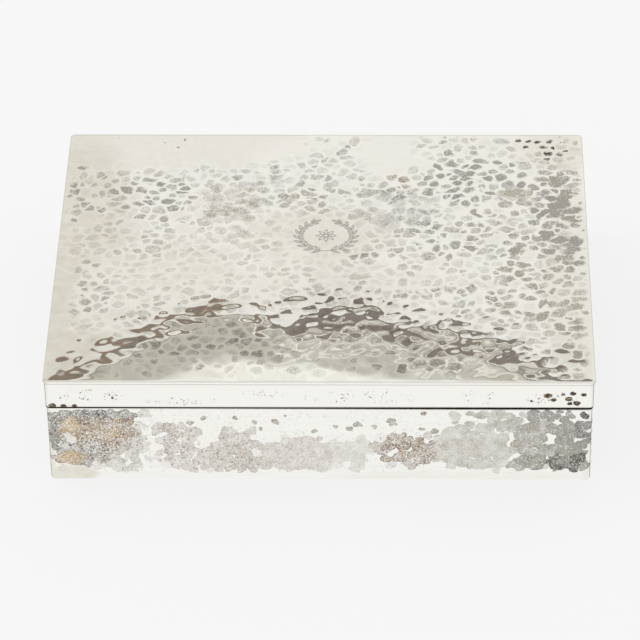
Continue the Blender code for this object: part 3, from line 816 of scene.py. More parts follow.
def lid_top_mesh(marks):
    """The hammered and engraved top of the lid, a closed sheet."""
    spots = [(x, y, radius, 0.0, SPOT_TARNISH, tint) for x, y, radius, tint in LID_SPOTS]
    spots += [(x, y, radius, 0.001 * depth, DEEP_TARNISH, DEEP_TINT) for x, y, radius, depth in DEEP_MARKS]
    work = hammered_work(-TOP_HALF, TOP_HALF, marks, LID_HAMMERING, marks.lid_depth, LID_REST, LID_PATCHES,
                         spots)

    half, radius = TOP_HALF - Vector((ARRIS, ARRIS)), CORNER_RADIUS - ARRIS
    window = []
    for width, count, middle, reach in zip(
            TOP_HALF, (TOP_COLUMNS, TOP_ROWS), WREATH_PLACE, WREATH_WINDOW):
        cell = 2 * (width - ARRIS) / count
        window += [int(count / 2 + (middle - reach) / cell), int(count / 2 + (middle + reach) / cell) + 1]
    index, faces = top_lattice(*window)
    top_faces = len(faces)
    x, y = grid_place(index, half, radius)

    near_wreath = np.hypot((x - WREATH_PLACE.x) / WREATH_HALF.x, (y - WREATH_PLACE.y) / WREATH_HALF.y)
    calm = smooth((1.1 - near_wreath) / 0.25)
    settled = smooth(np.minimum(half.x - np.abs(x), half.y - np.abs(y)) / EDGE_CALM)
    rippled = region_values(RIPPLE_REST, RIPPLES, x / MM, y / MM)[:, 0]
    engraved = np.zeros(len(x))
    inside = np.flatnonzero(near_wreath < 1.5)
    engraved[inside] = engraving(x[inside], y[inside])
    sunk = (work.sunk(x, y) * (1 - 0.6 * calm) * settled
            + engraved * LINE_DEPTH
            + slow_wave(x, y, marks.seed + 5, RIPPLE_LENGTHS) * marks.unevenness * settled * rippled)
    top = np.column_stack([x, y, TOP_EDGE + dome_height(x, y) - sunk])

    border = border_addresses()
    loops = [[index[address] for address in border]]
    top[loops[0], 2] = TOP_EDGE
    edge = top[loops[0], :2]
    outward = edge_directions(edge, half, radius)
    rings = [(ARRIS * math.sin(turn), TOP_EDGE - ARRIS * (1 - math.cos(turn)))
             for turn in np.radians((30, 60, 90))]
    rings += [(ARRIS, TOP_LOW + 0.1 * MM), (ARRIS - 0.1 * MM, TOP_LOW)]
    points, count = [top], len(top)
    crevice = [np.zeros(len(top))]
    for reach, height in rings:
        loops.append(range(count, count + len(edge)))
        points.append(np.column_stack([edge + outward * reach, np.full(len(edge), height)]))
        # A thin brown line of tarnish along the sides and back of the edge, none at the front
        crevice.append(0.32 * smooth((outward[:, 1] + 0.9) / 0.3))
        count += len(edge)
    # The plate's underside just inside its edge gets painted shade under the overhang
    crevice[-1] = np.full(len(edge), 0.8)
    for upper, lower in zip(loops, loops[1:]):
        for side in range(len(edge)):
            after = (side + 1) % len(edge)
            faces.append((upper[side], lower[side], lower[after], upper[after]))

    under, under_faces = underside(dict(zip(border, loops[-1])), count)
    ux, uy = grid_place(under, half, radius)
    points.append(np.column_stack([ux, uy, TOP_LOW + dome_height(ux, uy)]))

    mesh = meshed("hammered_top", np.concatenate(points).tolist(), faces + under_faces)
    film = region_values(FILM_REST, FILM_PATCHES, x / MM, y / MM)
    set_fields(mesh, joined=region_values(LID_REST, LID_PATCHES, x / MM, y / MM)[:, 3], haze=film[:, 0],
               yellow=film[:, 1], engraved=engraved, crevice=np.concatenate(crevice))
    middles = places_of(mesh.polygons, "center")[:top_faces]
    work.tell(mesh, middles[:, 0], middles[:, 1],
              lambda px, py: np.column_stack([px, py, TOP_EDGE + dome_height(px, py)]))
    finish_shading(mesh)
    return mesh


def build_walls(prefix, body, slot, half, low, high, material, groove, dresser):
    """Four mitred walls. dresser gives a side's depths and the call that dresses its mesh."""
    for turn, side in enumerate(("front", "right", "back", "left")):
        name = f"{prefix}_{side}"
        along, across = half if turn % 2 == 0 else half.yx
        sunk, dress = dresser(turn, along, across)
        mesh = wall_mesh(name, along, across, low, high, sunk)
        rotation = Matrix.Rotation(turn * math.pi / 2, 4, "Z")
        mesh.transform(rotation)
        if turn:
            mesh = cut_mesh(name, mesh, groove)
            mesh.name = name
        finish_shading(mesh)
        facing = np.array(rotation.to_3x3())
        dress(mesh, places_of(mesh.vertices, "co") @ facing, facing)
        new_piece(name, mesh, material, body, slot, f"{body}_{side}_wall")


def in_shaded_joint(place, across, edge, inward):
    """How far vertices lie in the painted shade of the gap between lid and base, which makes a dark line
    there. inward is 1 above it and -1 below.
    """
    height = (place[:, 2] - edge) * inward
    inset = across - np.abs(place[:, 1])
    # The painted shadow beside the gap grows stronger towards the right
    to_right = smooth((place[:, 0] + 60 * MM) / (120 * MM))
    # The faces and rounded edges that face into the gap get full painted shade
    on_edge = (height < 0.02 * MM) & (inset > 0.9 * EDGE_ROUND)
    on_arris = (height < 0.8 * EDGE_ROUND) & (inset > 0.1 * EDGE_ROUND)
    # Painted shadow on a narrow band of the wall next to the gap
    below = (height < 1.2 * EDGE_ROUND) & (height > -0.02 * MM)
    return np.maximum((on_edge | on_arris) * 1.0, below * (0.35 + 0.6 * to_right))


def in_groove(place):
    """How much vertices in the groove of the hinge are darkened."""
    return 0.55 * (np.hypot(place[:, 1] - AXIS_Y, place[:, 2] - AXIS_Z) < 1.05 * GROOVE_RADIUS)


def base_dresser(marks):
    """How the base's walls are hammered. The sides that the photo doesn't show get random patches."""
    rng = np.random.default_rng(marks.seed + 50)

    def for_side(turn, along, across):
        draw, patches, spots, film = rng.uniform, FRONT_PATCHES, FRONT_SPOTS, FRONT_FILM
        if turn:
            patches = [(draw(-0.95, 0.95) * along / MM, draw(0.10, 0.90) * BASE_RIM / MM, draw(10, 28),
                        draw(5, 12), draw(0.40, 1.00), draw(0.05, 0.55), 1.0, draw(0.5, 1.0),
                        draw(0.05, 0.8)) for _ in range(13)]
            spots = ()
            film = [(draw(-1, 1) * along / MM, draw(1, 8), draw(10, 35), draw(3, 9), draw(0.1, 0.3))
                    for _ in range(4)]
        struck = []
        for x, z, radius, tint in spots:
            tarnish = region_values(FRONT_REST, patches, x, z)[0]
            struck.append((x, z, radius, 0.0, tarnish if tarnish > 0.4 else 1.0, tint))
        work = hammered_work((-along, 0.0), (along, BASE_RIM), marks, WALL_HAMMERING, marks.wall_depth,
                             FRONT_REST, patches, struck)

        def dress(mesh, place, facing):
            x, z = place[:, 0] / MM, place[:, 2] / MM
            regions = region_values(FRONT_REST, patches, x, z)
            # Painted shade of the gap under the lid, and the darkened groove of the hinge
            crevice = np.maximum(in_shaded_joint(place, across, BASE_RIM, -1), in_groove(place @ facing.T))
            set_fields(mesh, joined=regions[:, 3], mixed=regions[:, 4],
                       yellow=region_values((0.0,), film, x, z)[:, 0], crevice=crevice)
            middles = places_of(mesh.polygons, "center") @ facing
            work.tell(mesh, middles[:, 0], middles[:, 2],
                      lambda x, z: np.column_stack([x, np.full(len(x), -across), z]) @ facing.T)

        return work.sunk, dress

    return for_side


def band_dresser(marks):
    """How the lid's plain walls are pitted and spotted."""
    rng = np.random.default_rng(marks.seed + 90)

    def for_side(turn, along, across):
        draw, spots, clouds = rng.uniform, BAND_SPOTS, BAND_CLOUDS
        if turn:
            spots = [(draw(-0.95, 0.95) * along / MM, draw(35, 44), draw(0.5, 1.3)) for _ in range(7)]
            clouds = [(draw(-0.8, 0.8) * along / MM, draw(37, 42), draw(8, 20), draw(2, 4))
                      for _ in range(4)]

        def dress(mesh, place, facing):
            x, z = place[:, 0] / MM, place[:, 2] / MM
            spot, cloud = np.zeros(len(x)), np.zeros(len(x))
            for px, pz, radius in spots:
                reach = np.hypot((x - px) / (1.2 * radius), (z - pz) / (0.9 * radius))
                spot = np.maximum(spot, smooth((1.1 - reach) / 0.6))
            for px, pz, half_x, half_z in clouds:
                cloud = np.maximum(cloud, smooth(1.2 - np.hypot((x - px) / half_x, (z - pz) / half_z)))
            outside = (across - np.abs(place[:, 1])) < 0.6 * WALL_SHEET
            # Painted shadow of the top plate's overhang, with the dark line of its seam, along the top of
            # the lid's walls
            shade_under_plate = 0.40 * ((LID_WALL_TOP - place[:, 2]) < 2.5 * EDGE_ROUND)
            # Painted shade of the gap above the base, and the darkened groove of the hinge
            crevice = np.maximum(in_shaded_joint(place, across, LID_RIM, 1), in_groove(place @ facing.T))
            set_fields(mesh, spot=spot * outside, cloud=cloud * outside,
                       crevice=np.maximum(crevice, shade_under_plate))

        return lambda px, pz: np.zeros(len(px)), dress

    return for_side


class Number:
    """A number somewhere in a node tree. Sums with it are written as usual and add nodes."""

    def __init__(self, recipe, socket):
        self.recipe, self.socket = recipe, socket

    def __add__(self, other):
        return self.recipe.maths("ADD", self, other)

    def __sub__(self, other):
        return self.recipe.maths("SUBTRACT", self, other)

    def __mul__(self, other):
        return self.recipe.maths("MULTIPLY", self, other)

    def __truediv__(self, other):
        return self.recipe.maths("DIVIDE", self, other)

    def clamped(self):
        """The same number, held between 0 and 1."""
        self.socket.node.use_clamp = True
        return self


class Recipe:
    """A node tree under construction."""

    def __init__(self, tree):
        self.tree = tree
        self.coordinates = self.node("ShaderNodeTexCoord").outputs

    def node(self, kind, inputs=(), **settings):
        """A new node with its settings and inputs."""
        made = self.tree.nodes.new(kind)
        for key, value in settings.items():
            setattr(made, key, value)
        for socket, value in dict(inputs).items():
            self.feed(made.inputs[socket], value)
        return made

    def feed(self, socket, value):
        """Gives a socket a link or a fixed value."""
        value = value.socket if isinstance(value, Number) else value
        if isinstance(value, bpy.types.NodeSocket):
            self.tree.links.new(value, socket)
        else:
            socket.default_value = (*value, 1.0) if socket.type == "RGBA" else value

    def number(self, kind, inputs=(), output=0, **settings):
        """One output of a new node."""
        return Number(self, self.node(kind, inputs, **settings).outputs[output])

    def maths(self, operation, *values):
        return self.number("ShaderNodeMath", dict(enumerate(values)), operation=operation)

    def larger(self, first, second):
        return self.maths("MAXIMUM", first, second)

    def vector(self, operation, *values):
        return self.node("ShaderNodeVectorMath", dict(enumerate(values)), operation=operation).outputs[0]

    def dot(self, first, second):
        return self.number("ShaderNodeVectorMath", {0: first, 1: second}, "Value", operation="DOT_PRODUCT")

    def parts(self, vector):
        """The three numbers of a vector."""
        return [Number(self, part) for part in self.node("ShaderNodeSeparateXYZ", {0: vector}).outputs]

    def step(self, value, low, high, way="SMOOTHSTEP"):
        """0 below low, 1 above high, smooth or straight between."""
        inputs = {"Value": value, "From Min": low, "From Max": high}
        return self.number("ShaderNodeMapRange", inputs, interpolation_type=way)

    def mix(self, factor, first, second):
        """A colour between two."""
        made = self.node("ShaderNodeMix", {0: factor, 6: first, 7: second}, data_type="RGBA")
        return made.outputs[2]

    def blend(self, factor, first, second):
        """A number between two."""
        return self.number("ShaderNodeMix", {0: factor, 2: first, 3: second}, data_type="FLOAT")

    def noise(self, place, scale, detail=2.0, roughness=0.5):
        inputs = {"Vector": place, "Scale": scale, "Detail": detail, "Roughness": roughness}
        return self.number("ShaderNodeTexNoise", inputs)

    def ramp(self, factor, stops):
        """A colour ramp from rows of place, red, green and blue."""
        made = self.node("ShaderNodeValToRGB", {0: factor})
        points = made.color_ramp.elements
        while len(points) < len(stops):
            points.new(0.5)
        for point, (place, *colour) in zip(points, stops):
            point.position = place
            point.color = (*colour, 1.0)
        return made.outputs[0]

    def field(self, name, output="Fac"):
        return self.number("ShaderNodeAttribute", (), output, attribute_name=name)

    def stretched(self, *scale):
        """The object's own coordinates, stretched."""
        inputs = {"Vector": self.coordinates["Object"], "Scale": scale}
        return self.node("ShaderNodeMapping", inputs).outputs[0]

    def rays(self):
        """Whether the camera looks, and whether something glossy or clear does."""
        kinds = self.node("ShaderNodeLightPath").outputs
        mirrored = self.larger(kinds["Is Glossy Ray"], kinds["Is Transmission Ray"])
        return Number(self, kinds["Is Camera Ray"]), mirrored

    def coat(self, colour, roughness, metallic, strength=0.0, distance=0.0, height=0.0):
        """The finish: its colour and gloss, and its skin where it has one."""
        shader = self.tree.nodes["Principled BSDF"].inputs
        self.feed(shader["Base Color"], colour)
        self.feed(shader["Roughness"], roughness)
        shader["Metallic"].default_value = metallic
        if strength:
            inputs = {"Strength": strength, "Distance": distance, "Height": height}
            self.feed(shader["Normal"], self.node("ShaderNodeBump", inputs).outputs[0])


def new_material(name):
    """An empty material and its node recipe."""
    material = bpy.data.materials.new(name)
    material.use_nodes = True
    return material, Recipe(material.node_tree)


def times(parts, factor):
    """A colour or a scale times a number."""
    return [factor * part for part in parts]


def grimed_and_shaded(recipe, colour, ragged, unevenness):
    """A colour darkened by grime and by painted shade in joints, grooves and under overhangs, and how much
    of it there is.
    """
    grime_and_shade = (recipe.field("crevice") * (ragged * unevenness + 1.0)).clamped()
    # Brown grime that deepens to near black painted shade
    grime_and_shade_tone = recipe.ramp(grime_and_shade, ((0.2, 0.30, 0.19, 0.11), (0.75, 0.045, 0.03, 0.022)))
    return recipe.mix(grime_and_shade, colour, grime_and_shade_tone), grime_and_shade


def nearest_mark(recipe, place):
    """Distances to the nearest two marks in their own radii, with the nearer one's tarnish and tint."""
    near, second, weight, tint = None, NO_MARK, None, None
    for number in range(NEAR_MARKS):
        middle, stretch, lore = (recipe.field(f"{name}_{number}", "Vector")
                                 for name in ("mark", "stretch", "lore"))
        share, its_weight, its_tint = recipe.parts(lore)
        away = recipe.vector("SUBTRACT", place, middle)
        along = recipe.dot(away, stretch)
        gap = recipe.maths("SQRT", recipe.larger(recipe.dot(away, away) * share - along * along, 0.0))
        if number == 0:
            near, weight, tint = gap, its_weight, its_tint
            continue
        closer = recipe.maths("LESS_THAN", gap, near)
        second = recipe.maths("MINIMUM", second, recipe.larger(gap, near))
        weight = recipe.blend(closer, weight, its_weight)
        tint = recipe.blend(closer, tint, its_tint)
        near = recipe.maths("MINIMUM", near, gap)
    return near, second, weight, tint


def hammered_silver(name, silver, look):
    """Polished silver with speckled tarnish in the hammer marks, from near black through grey to golden."""
    material, recipe = new_material(name)
    place, step, mix = recipe.coordinates["Object"], recipe.step, recipe.mix
    ragged, fine, mottle, broad = (recipe.noise(place, *grain) - 0.5 for grain in (
        (900.0, 3.0), (1450.0, 2.0, 0.7), (330.0,), (170.0,)))
    drift = recipe.number("ShaderNodeTexNoise", {"Vector": place, "Scale": 300.0, "Detail": 3.0}, "Color")
    drift = recipe.vector("SUBTRACT", drift, (0.5, 0.5, 0.5))
    bent = recipe.vector("MULTIPLY_ADD", drift, (2.6 * MM,) * 3, place)
    near, second, weight, tint = nearest_mark(recipe, bent)
    mixed, joined = recipe.field("mixed"), recipe.field("joined")

    inside = step(near, 1.0, 1.0 - look.softness)
    between = recipe.larger(step(second - near, 0.0, look.line), step(broad * 1.5 + joined, 0.5, 0.75))
    if look.rims:
        flooded = step(broad * 0.9 + joined, 1.05, 1.20)
        inside = recipe.larger(inside, flooded)
    hollow = inside * between
    spread = step(fine * 0.20 + (ragged * 0.30 + hollow), look.low, look.high)
    grain = (fine * (mixed * 5.0 + look.speckle) + 0.88).clamped()
    amount = (spread * weight * (grain * (mottle * look.shade + 0.95))).clamped()
    if look.haze:
        ridge = step(weight, 0.1, 0.4) * (hollow * -1.0 + 1.0)
        haze = (mottle * 0.16 + silver.haze * look.haze) * recipe.field("haze")
        amount = recipe.larger(amount, haze * (ridge * -0.75 + 1.0))

    warmth = ragged * mixed * 1.1 + (mottle * 0.25 + (tint + look.warmth))
    stain = recipe.ramp(warmth * 0.75 + 0.25, (
        (0.0, 0.032, 0.023, 0.016), (0.14, 0.135, 0.117, 0.10), (0.25, *silver.grey),
        (0.55, *silver.beige), (0.76, *silver.brown), (0.96, *silver.golden)))
    brushed = recipe.noise(recipe.stretched(60.0, 2600.0, 2600.0), 1.0, 3.0)
    bright = mix(step(brushed, 0.35, 0.7), silver.polished, times(silver.polished, 0.97))
    bright = mix(recipe.field("yellow") * (broad * 1.5 + 1.0), bright, YELLOW_FILM)
    colour = mix(amount, bright, stain)
    if look.rims:
        rim = step(fine * 0.5 + near, 0.68, 0.92) * step(broad * 2.0 + weight, 0.45, 0.85)
        rim = rim * (flooded * -0.75 + 1.0)
        fleck = step(recipe.noise(place, 1250.0), 0.58, 0.66)
        dark = recipe.larger(rim, fleck) * (spread * mixed)
        colour = mix(dark * look.rims, colour, DARK_RIM)
    colour = mix(recipe.field("engraved") * 0.85, colour, DARK_LINE)
    # Grime and painted shade in joints, grooves and under the plate's edge
    colour, grime_and_shade = grimed_and_shaded(recipe, colour, ragged, 0.5)
    dull = recipe.blend(recipe.larger(amount, grime_and_shade), silver.polish, silver.dullness)
    recipe.coat(colour, dull, 1.0, 0.15, 0.004 * MM, fine * amount)
    return material


def plain_silver(name, silver):
    """Polished silver with faint brushing, pin pricks and a few dark spots."""
    material, recipe = new_material(name)
    place, step, mix = recipe.coordinates["Object"], recipe.step, recipe.mix
    spot, cloud = recipe.field("spot"), recipe.field("cloud")
    ragged = recipe.noise(place, 1100.0, 3.0) - 0.5
    spotted = step(ragged * 1.5 + spot, 0.40, 0.65) * step(spot, 0.02, 0.15)
    prick = step(recipe.noise(place, 1150.0, 2.0, 0.6), 0.57, 0.65) * step(cloud, 0.10, 0.70)
    prick = prick * step(recipe.noise(place, 300.0), 0.45, 0.54)
    amount = recipe.larger(spotted, prick * 0.9)
    brushed = recipe.noise(recipe.stretched(120.0, 120.0, 3200.0), 1.0, 3.0)
    bright = mix(step(brushed, 0.35, 0.7), silver.polished, times(silver.polished, 0.985))
    dark = mix(step(ragged, -0.05, 0.15), DARK_SPOT, BROWN_SPOT)
    # Grime and painted shade in joints, grooves, under the plate and at the barrel ends
    colour, grime_and_shade = grimed_and_shaded(recipe, mix(amount, bright, dark), ragged, 0.6)
    dull = recipe.blend(recipe.larger(amount, grime_and_shade), silver.polish * 1.6, silver.dullness)
    recipe.coat(colour, dull, 1.0, 0.05, 0.002 * MM, brushed)
    return material


def drawn_steel(name):
    """Steel wire with the fine lines of drawing."""
    material, recipe = new_material(name)
    lines = recipe.noise(recipe.stretched(80.0, 5200.0, 5200.0), 1.0, 3.0)
    colour = recipe.mix(lines, DIM_STEEL, BRIGHT_STEEL)
    recipe.coat(colour, recipe.blend(lines, 0.28, 0.42), 1.0)
    return material


def cedar_wood(name, cedar, *lengthwise):
    """Sanded cedar. lengthwise is how slowly it changes along X, Y and Z, least along the grain."""
    material, recipe = new_material(name)
    step, mix = recipe.step, recipe.mix
    place = recipe.stretched(*lengthwise)
    bent = recipe.vector("MULTIPLY_ADD", recipe.noise(place, 40.0, 3.0), (7.0 * MM,) * 3, place)
    rings = recipe.number("ShaderNodeTexWave", {
        "Vector": bent, "Scale": RING_TURN / cedar.ring, "Distortion": 2.2, "Detail": 3.0,
        "Detail Scale": 0.35, "Detail Roughness": 0.6,
    }, "Fac", wave_type="BANDS", bands_direction="DIAGONAL", wave_profile="SAW")
    pores = recipe.noise(recipe.stretched(*times(lengthwise, 2600.0)), 1.0, 3.0, 0.6)
    fibres = recipe.noise(recipe.stretched(*times(lengthwise, 900.0)), 1.0, 4.0, 0.65)
    late = recipe.maths("POWER", rings, 2.6) * step(recipe.noise(place, 90.0), 0.25, 0.65)
    colour = mix(late * 0.9, cedar.early, cedar.late)
    colour = mix(step(fibres, 0.35, 0.75) * 0.40, colour, times(cedar.late, 0.8))
    colour = mix(step(pores, 0.52, 0.72) * 0.50, colour, times(cedar.late, 0.5))
    colour = mix(recipe.noise(place, 24.0) * 0.35, colour, cedar.early)
    recipe.coat(colour, recipe.blend(pores, 0.5, 0.68), 0.0, 0.35, 0.05 * MM, pores)
    return material


def material_named(name, maker, *choices):
    """A material by name, made at its first use."""
    return bpy.data.materials.get(name) or maker(name, *choices)


def softened(node, material, width):
    """Gives a CAD node its material and rounds its edges."""
    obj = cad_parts[node]
    obj.data.materials.clear()
    obj.data.materials.append(material)
    weld = obj.modifiers.new("Joined", "WELD")
    weld.merge_threshold = 0.001 * MM
    bevel = obj.modifiers.new("Softened", "BEVEL")
    bevel.width = width
    bevel.segments = 2
    bevel.limit_method = "ANGLE"
    bevel.angle_limit = BEVEL_ANGLE
    bevel.harden_normals = False


def tube_mesh(name, low, high, outer, bore):
    """A round bar or tube along X with small chamfers at its ends."""
    chamfer, sides = BARREL_CHAMFER, BARREL_SIDES
    profile = [(low, outer - chamfer), (low + chamfer, outer),
               (high - chamfer, outer), (high, outer - chamfer)]
    if bore:
        profile += [(high, bore), (low, bore)]
    points = [(x, AXIS_Y + y, AXIS_Z + z) for x, radius in profile
              for y, z in arc((0, 0), radius, 0, 360, sides)[:-1]]
    faces = []
    for ring in range(len(profile) if bore else len(profile) - 1):
        first, second = ring * sides, (ring + 1) % len(profile) * sides
        for side in range(sides):
            after = (side + 1) % sides
            faces.append((first + side, first + after, second + after, second + side))
    if not bore:
        faces.append(list(range(sides))[::-1])
        faces.append(list(range(len(points) - sides, len(points))))
    mesh = meshed(name, points, faces)
    shape = bmesh.new()
    shape.from_mesh(mesh)
    bmesh.ops.recalc_face_normals(shape, faces=shape.faces)
    shape.to_mesh(mesh)
    shape.free()
    x = places_of(mesh.vertices, "co")[:, 0]
    # The ends, where one barrel meets the next, are darkened
    set_fields(mesh, crevice=0.7 * ((x < low + 0.5 * chamfer) | (x > high - 0.5 * chamfer)))
    return mesh


def aimed(data, place, target, roll=0.0):
    """A lamp or a camera that looks at a point."""
    obj = placed(data.name, data)
    obj.location = place
    obj.rotation_mode = "QUATERNION"
    sight = Vector(target) - Vector(place)
    obj.rotation_quaternion = sight.to_track_quat("-Z", "Y") @ Quaternion((0.0, 0.0, 1.0), roll)
    return obj


def lay_floor(studio):
    """A pale floor, which seems a little greyer in the metal further from the casket."""
    corners = [(x * FLOOR_REACH, y * FLOOR_REACH, 0) for x, y in ((-1, -1), (1, -1), (1, 1), (-1, 1))]
    floor = placed("floor", meshed("floor", corners, [(0, 1, 2, 3)]))
    material, recipe = new_material("pale_floor")
    nodes = material.node_tree.nodes
    shader = nodes["Principled BSDF"]
    shader.inputs["Base Color"].default_value = (*studio.floor, 1.0)
    shader.inputs["Roughness"].default_value = 0.9
    shader.inputs["Specular IOR Level"].default_value = 0.0
    seen, mirrored = recipe.rays()
    share = (mirrored * 0.95 + seen * 0.80).clamped()
    x, y, _ = recipe.parts(recipe.coordinates["Object"])
    away = recipe.larger(recipe.maths("ABSOLUTE", x) - LID_HALF.x, y - LID_HALF.y)
    away = recipe.step(away, 6.0 * MM, 130.0 * MM)
    tone = recipe.mix(away * mirrored, studio.floor, FAR_FLOOR)
    glow = recipe.node("ShaderNodeEmission", {"Color": tone, "Strength": 1.0})
    lit = recipe.node("ShaderNodeMixShader", {0: share, 1: shader.outputs[0], 2: glow.outputs[0]})
    recipe.feed(nodes["Material Output"].inputs["Surface"], lit.outputs[0])
    floor.data.materials.append(material)


def as_shares(rows, low, high):
    """Rows with their first number turned into a share of the way from low to high."""
    return [((place - low) / (high - low), *rest) for place, *rest in rows]


def mirrored_surroundings(recipe):
    """What the silver mirrors: a ragged dark outline before a glow, and pale bands all round."""
    x, y, z = recipe.parts(recipe.coordinates["Generated"])
    height = recipe.maths("ARCSINE", z) * math.degrees(1)
    bearing = recipe.maths("ARCTAN2", x, y) * math.degrees(1)
    share = recipe.step(bearing, *BEARINGS, "LINEAR")

    def curve(rows, base, span):
        """A height that changes with the bearing, between base and base plus span."""
        stops = [(place, *((value - base) / span,) * 3) for place, value in as_shares(rows, *BEARINGS)]
        return recipe.maths("MULTIPLY", recipe.ramp(share, stops), span) + base

    above = height - curve(OUTLINE, 38.0, 1.5)
    thick = curve(THICKNESS, 0.0, 1.0)
    in_brown = recipe.maths("MINIMUM", above / thick * BROWN_SHARE, BROWN_SHARE)
    deep = recipe.step(in_brown + recipe.larger(above - thick, 0.0), *DEPTHS, "LINEAR")
    left, middle = (
        recipe.ramp(deep, as_shares(rows, *DEPTHS)) for rows in (MIRRORED_LEFT, MIRRORED_MIDDLE))
    band = recipe.mix(recipe.step(bearing, -2.9, -2.6), left, middle)
    glow = recipe.step(height - curve(GLOW, 40.0, 1.5), -0.22, 0.32)
    band = recipe.mix(glow, band, BRIGHT_GLOW)
    around = recipe.ramp(height / 90.0, SURROUNDINGS)
    window = recipe.step(recipe.maths("ABSOLUTE", bearing), 34.0, 18.0)
    inside = recipe.step(height, 30.0, 32.0) * recipe.step(height, 46.0, 44.0)
    return recipe.mix(window * inside, around, band)


def light_studio(scene, studio):
    """Soft light from all round, which the silver mirrors, and one soft lamp."""
    world = bpy.data.worlds.new("studio_light")
    world.use_nodes = True
    scene.world = world
    recipe = Recipe(world.node_tree)
    seen, mirrored = recipe.rays()
    colour = recipe.mix(mirrored, (studio.sky,) * 3, mirrored_surroundings(recipe))
    background = world.node_tree.nodes["Background"].inputs
    recipe.feed(background["Color"], recipe.mix(seen, colour, studio.floor))
    background["Strength"].default_value = 1.0

    lamp = bpy.data.lights.new("key_light", "AREA")
    lamp.energy = studio.key
    lamp.size = LAMP_SIZE
    lamp_object = aimed(lamp, LAMP_PLACE, (0.0, 0.0, 0.0))
    lamp_object.visible_glossy = False
    lamp_object.visible_camera = False


class CASKET_OT_stage(bpy.types.Operator):
    """Lays the floor, sets the light and places the camera"""

    bl_idname = "casket.stage"
    bl_label = "Stage"

    def execute(self, context):
        scene, studio = context.scene, context.scene.casket_studio
        lay_floor(studio)
        light_studio(scene, studio)
        camera = bpy.data.cameras.new("camera")
        camera.lens = studio.lens
        camera.sensor_width = SENSOR_WIDTH
        camera.clip_start = NEAREST_SEEN
        camera.clip_end = FURTHEST_SEEN
        scene.camera = aimed(camera, studio.camera, studio.target, studio.roll)
        scene.view_settings.view_transform = "Standard"
        return {"FINISHED"}


class CASKET_OT_lid_top(bpy.types.Operator):
    """Builds the hammered and engraved top of the lid"""

    bl_idname = "casket.lid_top"
    bl_label = "Lid top"

    def execute(self, context):
        scene = context.scene
        silver = material_named("planished_silver_top", hammered_silver, scene.casket_silver, LID_LOOK)
        mesh = lid_top_mesh(scene.casket_marks)
        new_piece("hammered_top", mesh, silver, "lid", "hammered_silver", "lid_top")
        return {"FINISHED"}


class CASKET_OT_walls(bpy.types.Operator):
    """Builds the hammered walls of the base and the plain walls of the lid"""

    bl_idname = "casket.walls"
    bl_label = "Walls"

    def execute(self, context):
        silver, marks = context.scene.casket_silver, context.scene.casket_marks
        hammered = material_named("planished_silver_walls", hammered_silver, silver, WALL_LOOK)
        plain = material_named("polished_silver", plain_silver, silver)
        groove = groove_cutter()
        build_walls("hammered_wall", "base", "hammered_silver", BASE_HALF, 0.0, BASE_RIM,
                    hammered, groove, base_dresser(marks))
        build_walls("lid_band", "lid", "plain_silver", LID_HALF, LID_RIM, LID_WALL_TOP,
                    plain, groove, band_dresser(marks))
        bpy.data.objects.remove(groove)
        return {"FINISHED"}


class CASKET_OT_silver_inside(bpy.types.Operator):
    """Finishes the floor sheet and the bearers of the hinge"""

    bl_idname = "casket.silver_inside"
    bl_label = "Floor sheet and bearers"

    def execute(self, context):
        plain = material_named("polished_silver", plain_silver, context.scene.casket_silver)
        for node in ("base_floor", "base_hinge_bearer", "lid_hinge_bearer"):
            softened(node, plain, 0.1 * MM)
        return {"FINISHED"}


class CASKET_OT_hinge(bpy.types.Operator):
    """Builds the knuckles, the pin and its plugs"""

    bl_idname = "casket.hinge"
    bl_label = "Hinge"

    def execute(self, context):
        plain = material_named("polished_silver", plain_silver, context.scene.casket_silver)
        steel = material_named("drawn_steel", drawn_steel)
        outline = []
        for start, x_sign, y_sign in ((180, -1, -1), (270, 1, -1), (0, 1, 1), (90, -1, 1)):
            centre = (x_sign * (LID_HALF.x - CORNER_RADIUS), y_sign * (LID_HALF.y - CORNER_RADIUS))
            outline += arc(centre, CORNER_RADIUS, start, start + 90, GUIDE_STEPS)
        guide = prism("corner_guide", [(x, y, AXIS_Z - 5 * MM) for x, y in outline], (0, 0, 10 * MM))
        barrels = [(f"{body}_barrel_{number}", f"{body}_knuckle_{number}", plain, body, "plain_silver",
                    KNUCKLE_RADIUS, BORE_RADIUS)
                   for body, count in (("base", 5), ("lid", 4)) for number in range(1, count + 1)]
        barrels.append(("barrel_pin", "hinge_pin", steel, "base", "pin_steel", PIN_RADIUS, 0))
        for side in ("left", "right"):
            barrels.append((f"barrel_plug_{side}", f"pin_plug_{side}", plain, "base", "plain_silver",
                            PIN_RADIUS, 0))
        for name, node, material, body, slot, radius, bore in barrels:
            low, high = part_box(node)
            mesh = tube_mesh(name, low.x, high.x, radius, bore)
            if node in ("base_knuckle_1", "base_knuckle_5"):
                mesh = cut_mesh(name, mesh, guide, "INTERSECT")
            finish_shading(mesh)
            new_piece(name, mesh, material, body, slot, node)
        bpy.data.objects.remove(guide)
        return {"FINISHED"}


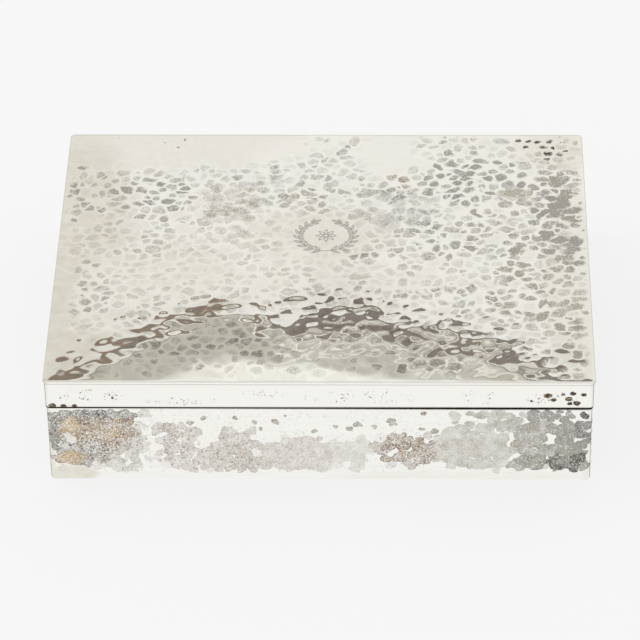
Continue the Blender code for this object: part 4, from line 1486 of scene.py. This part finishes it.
class CASKET_OT_lining(bpy.types.Operator):
    """Finishes the cedar lining and the divider"""

    bl_idname = "casket.lining"
    bl_label = "Cedar lining"

    def execute(self, context):
        cedar = context.scene.casket_cedar
        for name, lengthwise, nodes in (
            ("cedar_across", (ALONG_GRAIN, 1.0, 1.0),
             ("lining_front", "lining_back", "lining_floor", "lid_lining")),
            ("cedar_along", (1.0, ALONG_GRAIN, 1.0), ("lining_left", "lining_right", "divider")),
        ):
            wood = material_named(name, cedar_wood, cedar, *lengthwise)
            for node in nodes:
                softened(node, wood, cedar.edge)
        return {"FINISHED"}


class CASKET_PT_panel(bpy.types.Panel):
    """The casket's sizes, colours and building steps"""

    bl_idname = "CASKET_PT_panel"
    bl_label = "Silver casket"
    bl_space_type = "VIEW_3D"
    bl_region_type = "UI"
    bl_category = "Casket"

    def draw(self, context):
        for operator in OPERATORS:
            self.layout.operator(operator.bl_idname)
        for name in GROUPS:
            group, box = getattr(context.scene, name), self.layout.box()
            for choice in group.__annotations__:
                box.prop(group, choice)


GROUPS = {"casket_marks": HammerMarks, "casket_silver": SilverFinish, "casket_cedar": CedarFinish,
          "casket_studio": StudioSetup}
OPERATORS = (CASKET_OT_stage, CASKET_OT_lid_top, CASKET_OT_walls, CASKET_OT_silver_inside,
             CASKET_OT_hinge, CASKET_OT_lining)
CLASSES = (*GROUPS.values(), *OPERATORS, CASKET_PT_panel)


def register():
    """Makes the classes and their settings known to Blender."""
    for kind in CLASSES:
        bpy.utils.register_class(kind)
    for name, group in GROUPS.items():
        setattr(bpy.types.Scene, name, PointerProperty(type=group))


def unregister():
    """Takes back what register did."""
    for name in GROUPS:
        delattr(bpy.types.Scene, name)
    for kind in reversed(CLASSES):
        bpy.utils.unregister_class(kind)


def main():
    """Builds the dressed casket."""
    register()
    bpy.ops.casket.stage()
    bpy.ops.casket.lid_top()
    bpy.ops.casket.walls()
    bpy.ops.casket.silver_inside()
    bpy.ops.casket.hinge()
    bpy.ops.casket.lining()


if __name__ == "__main__":
    main()
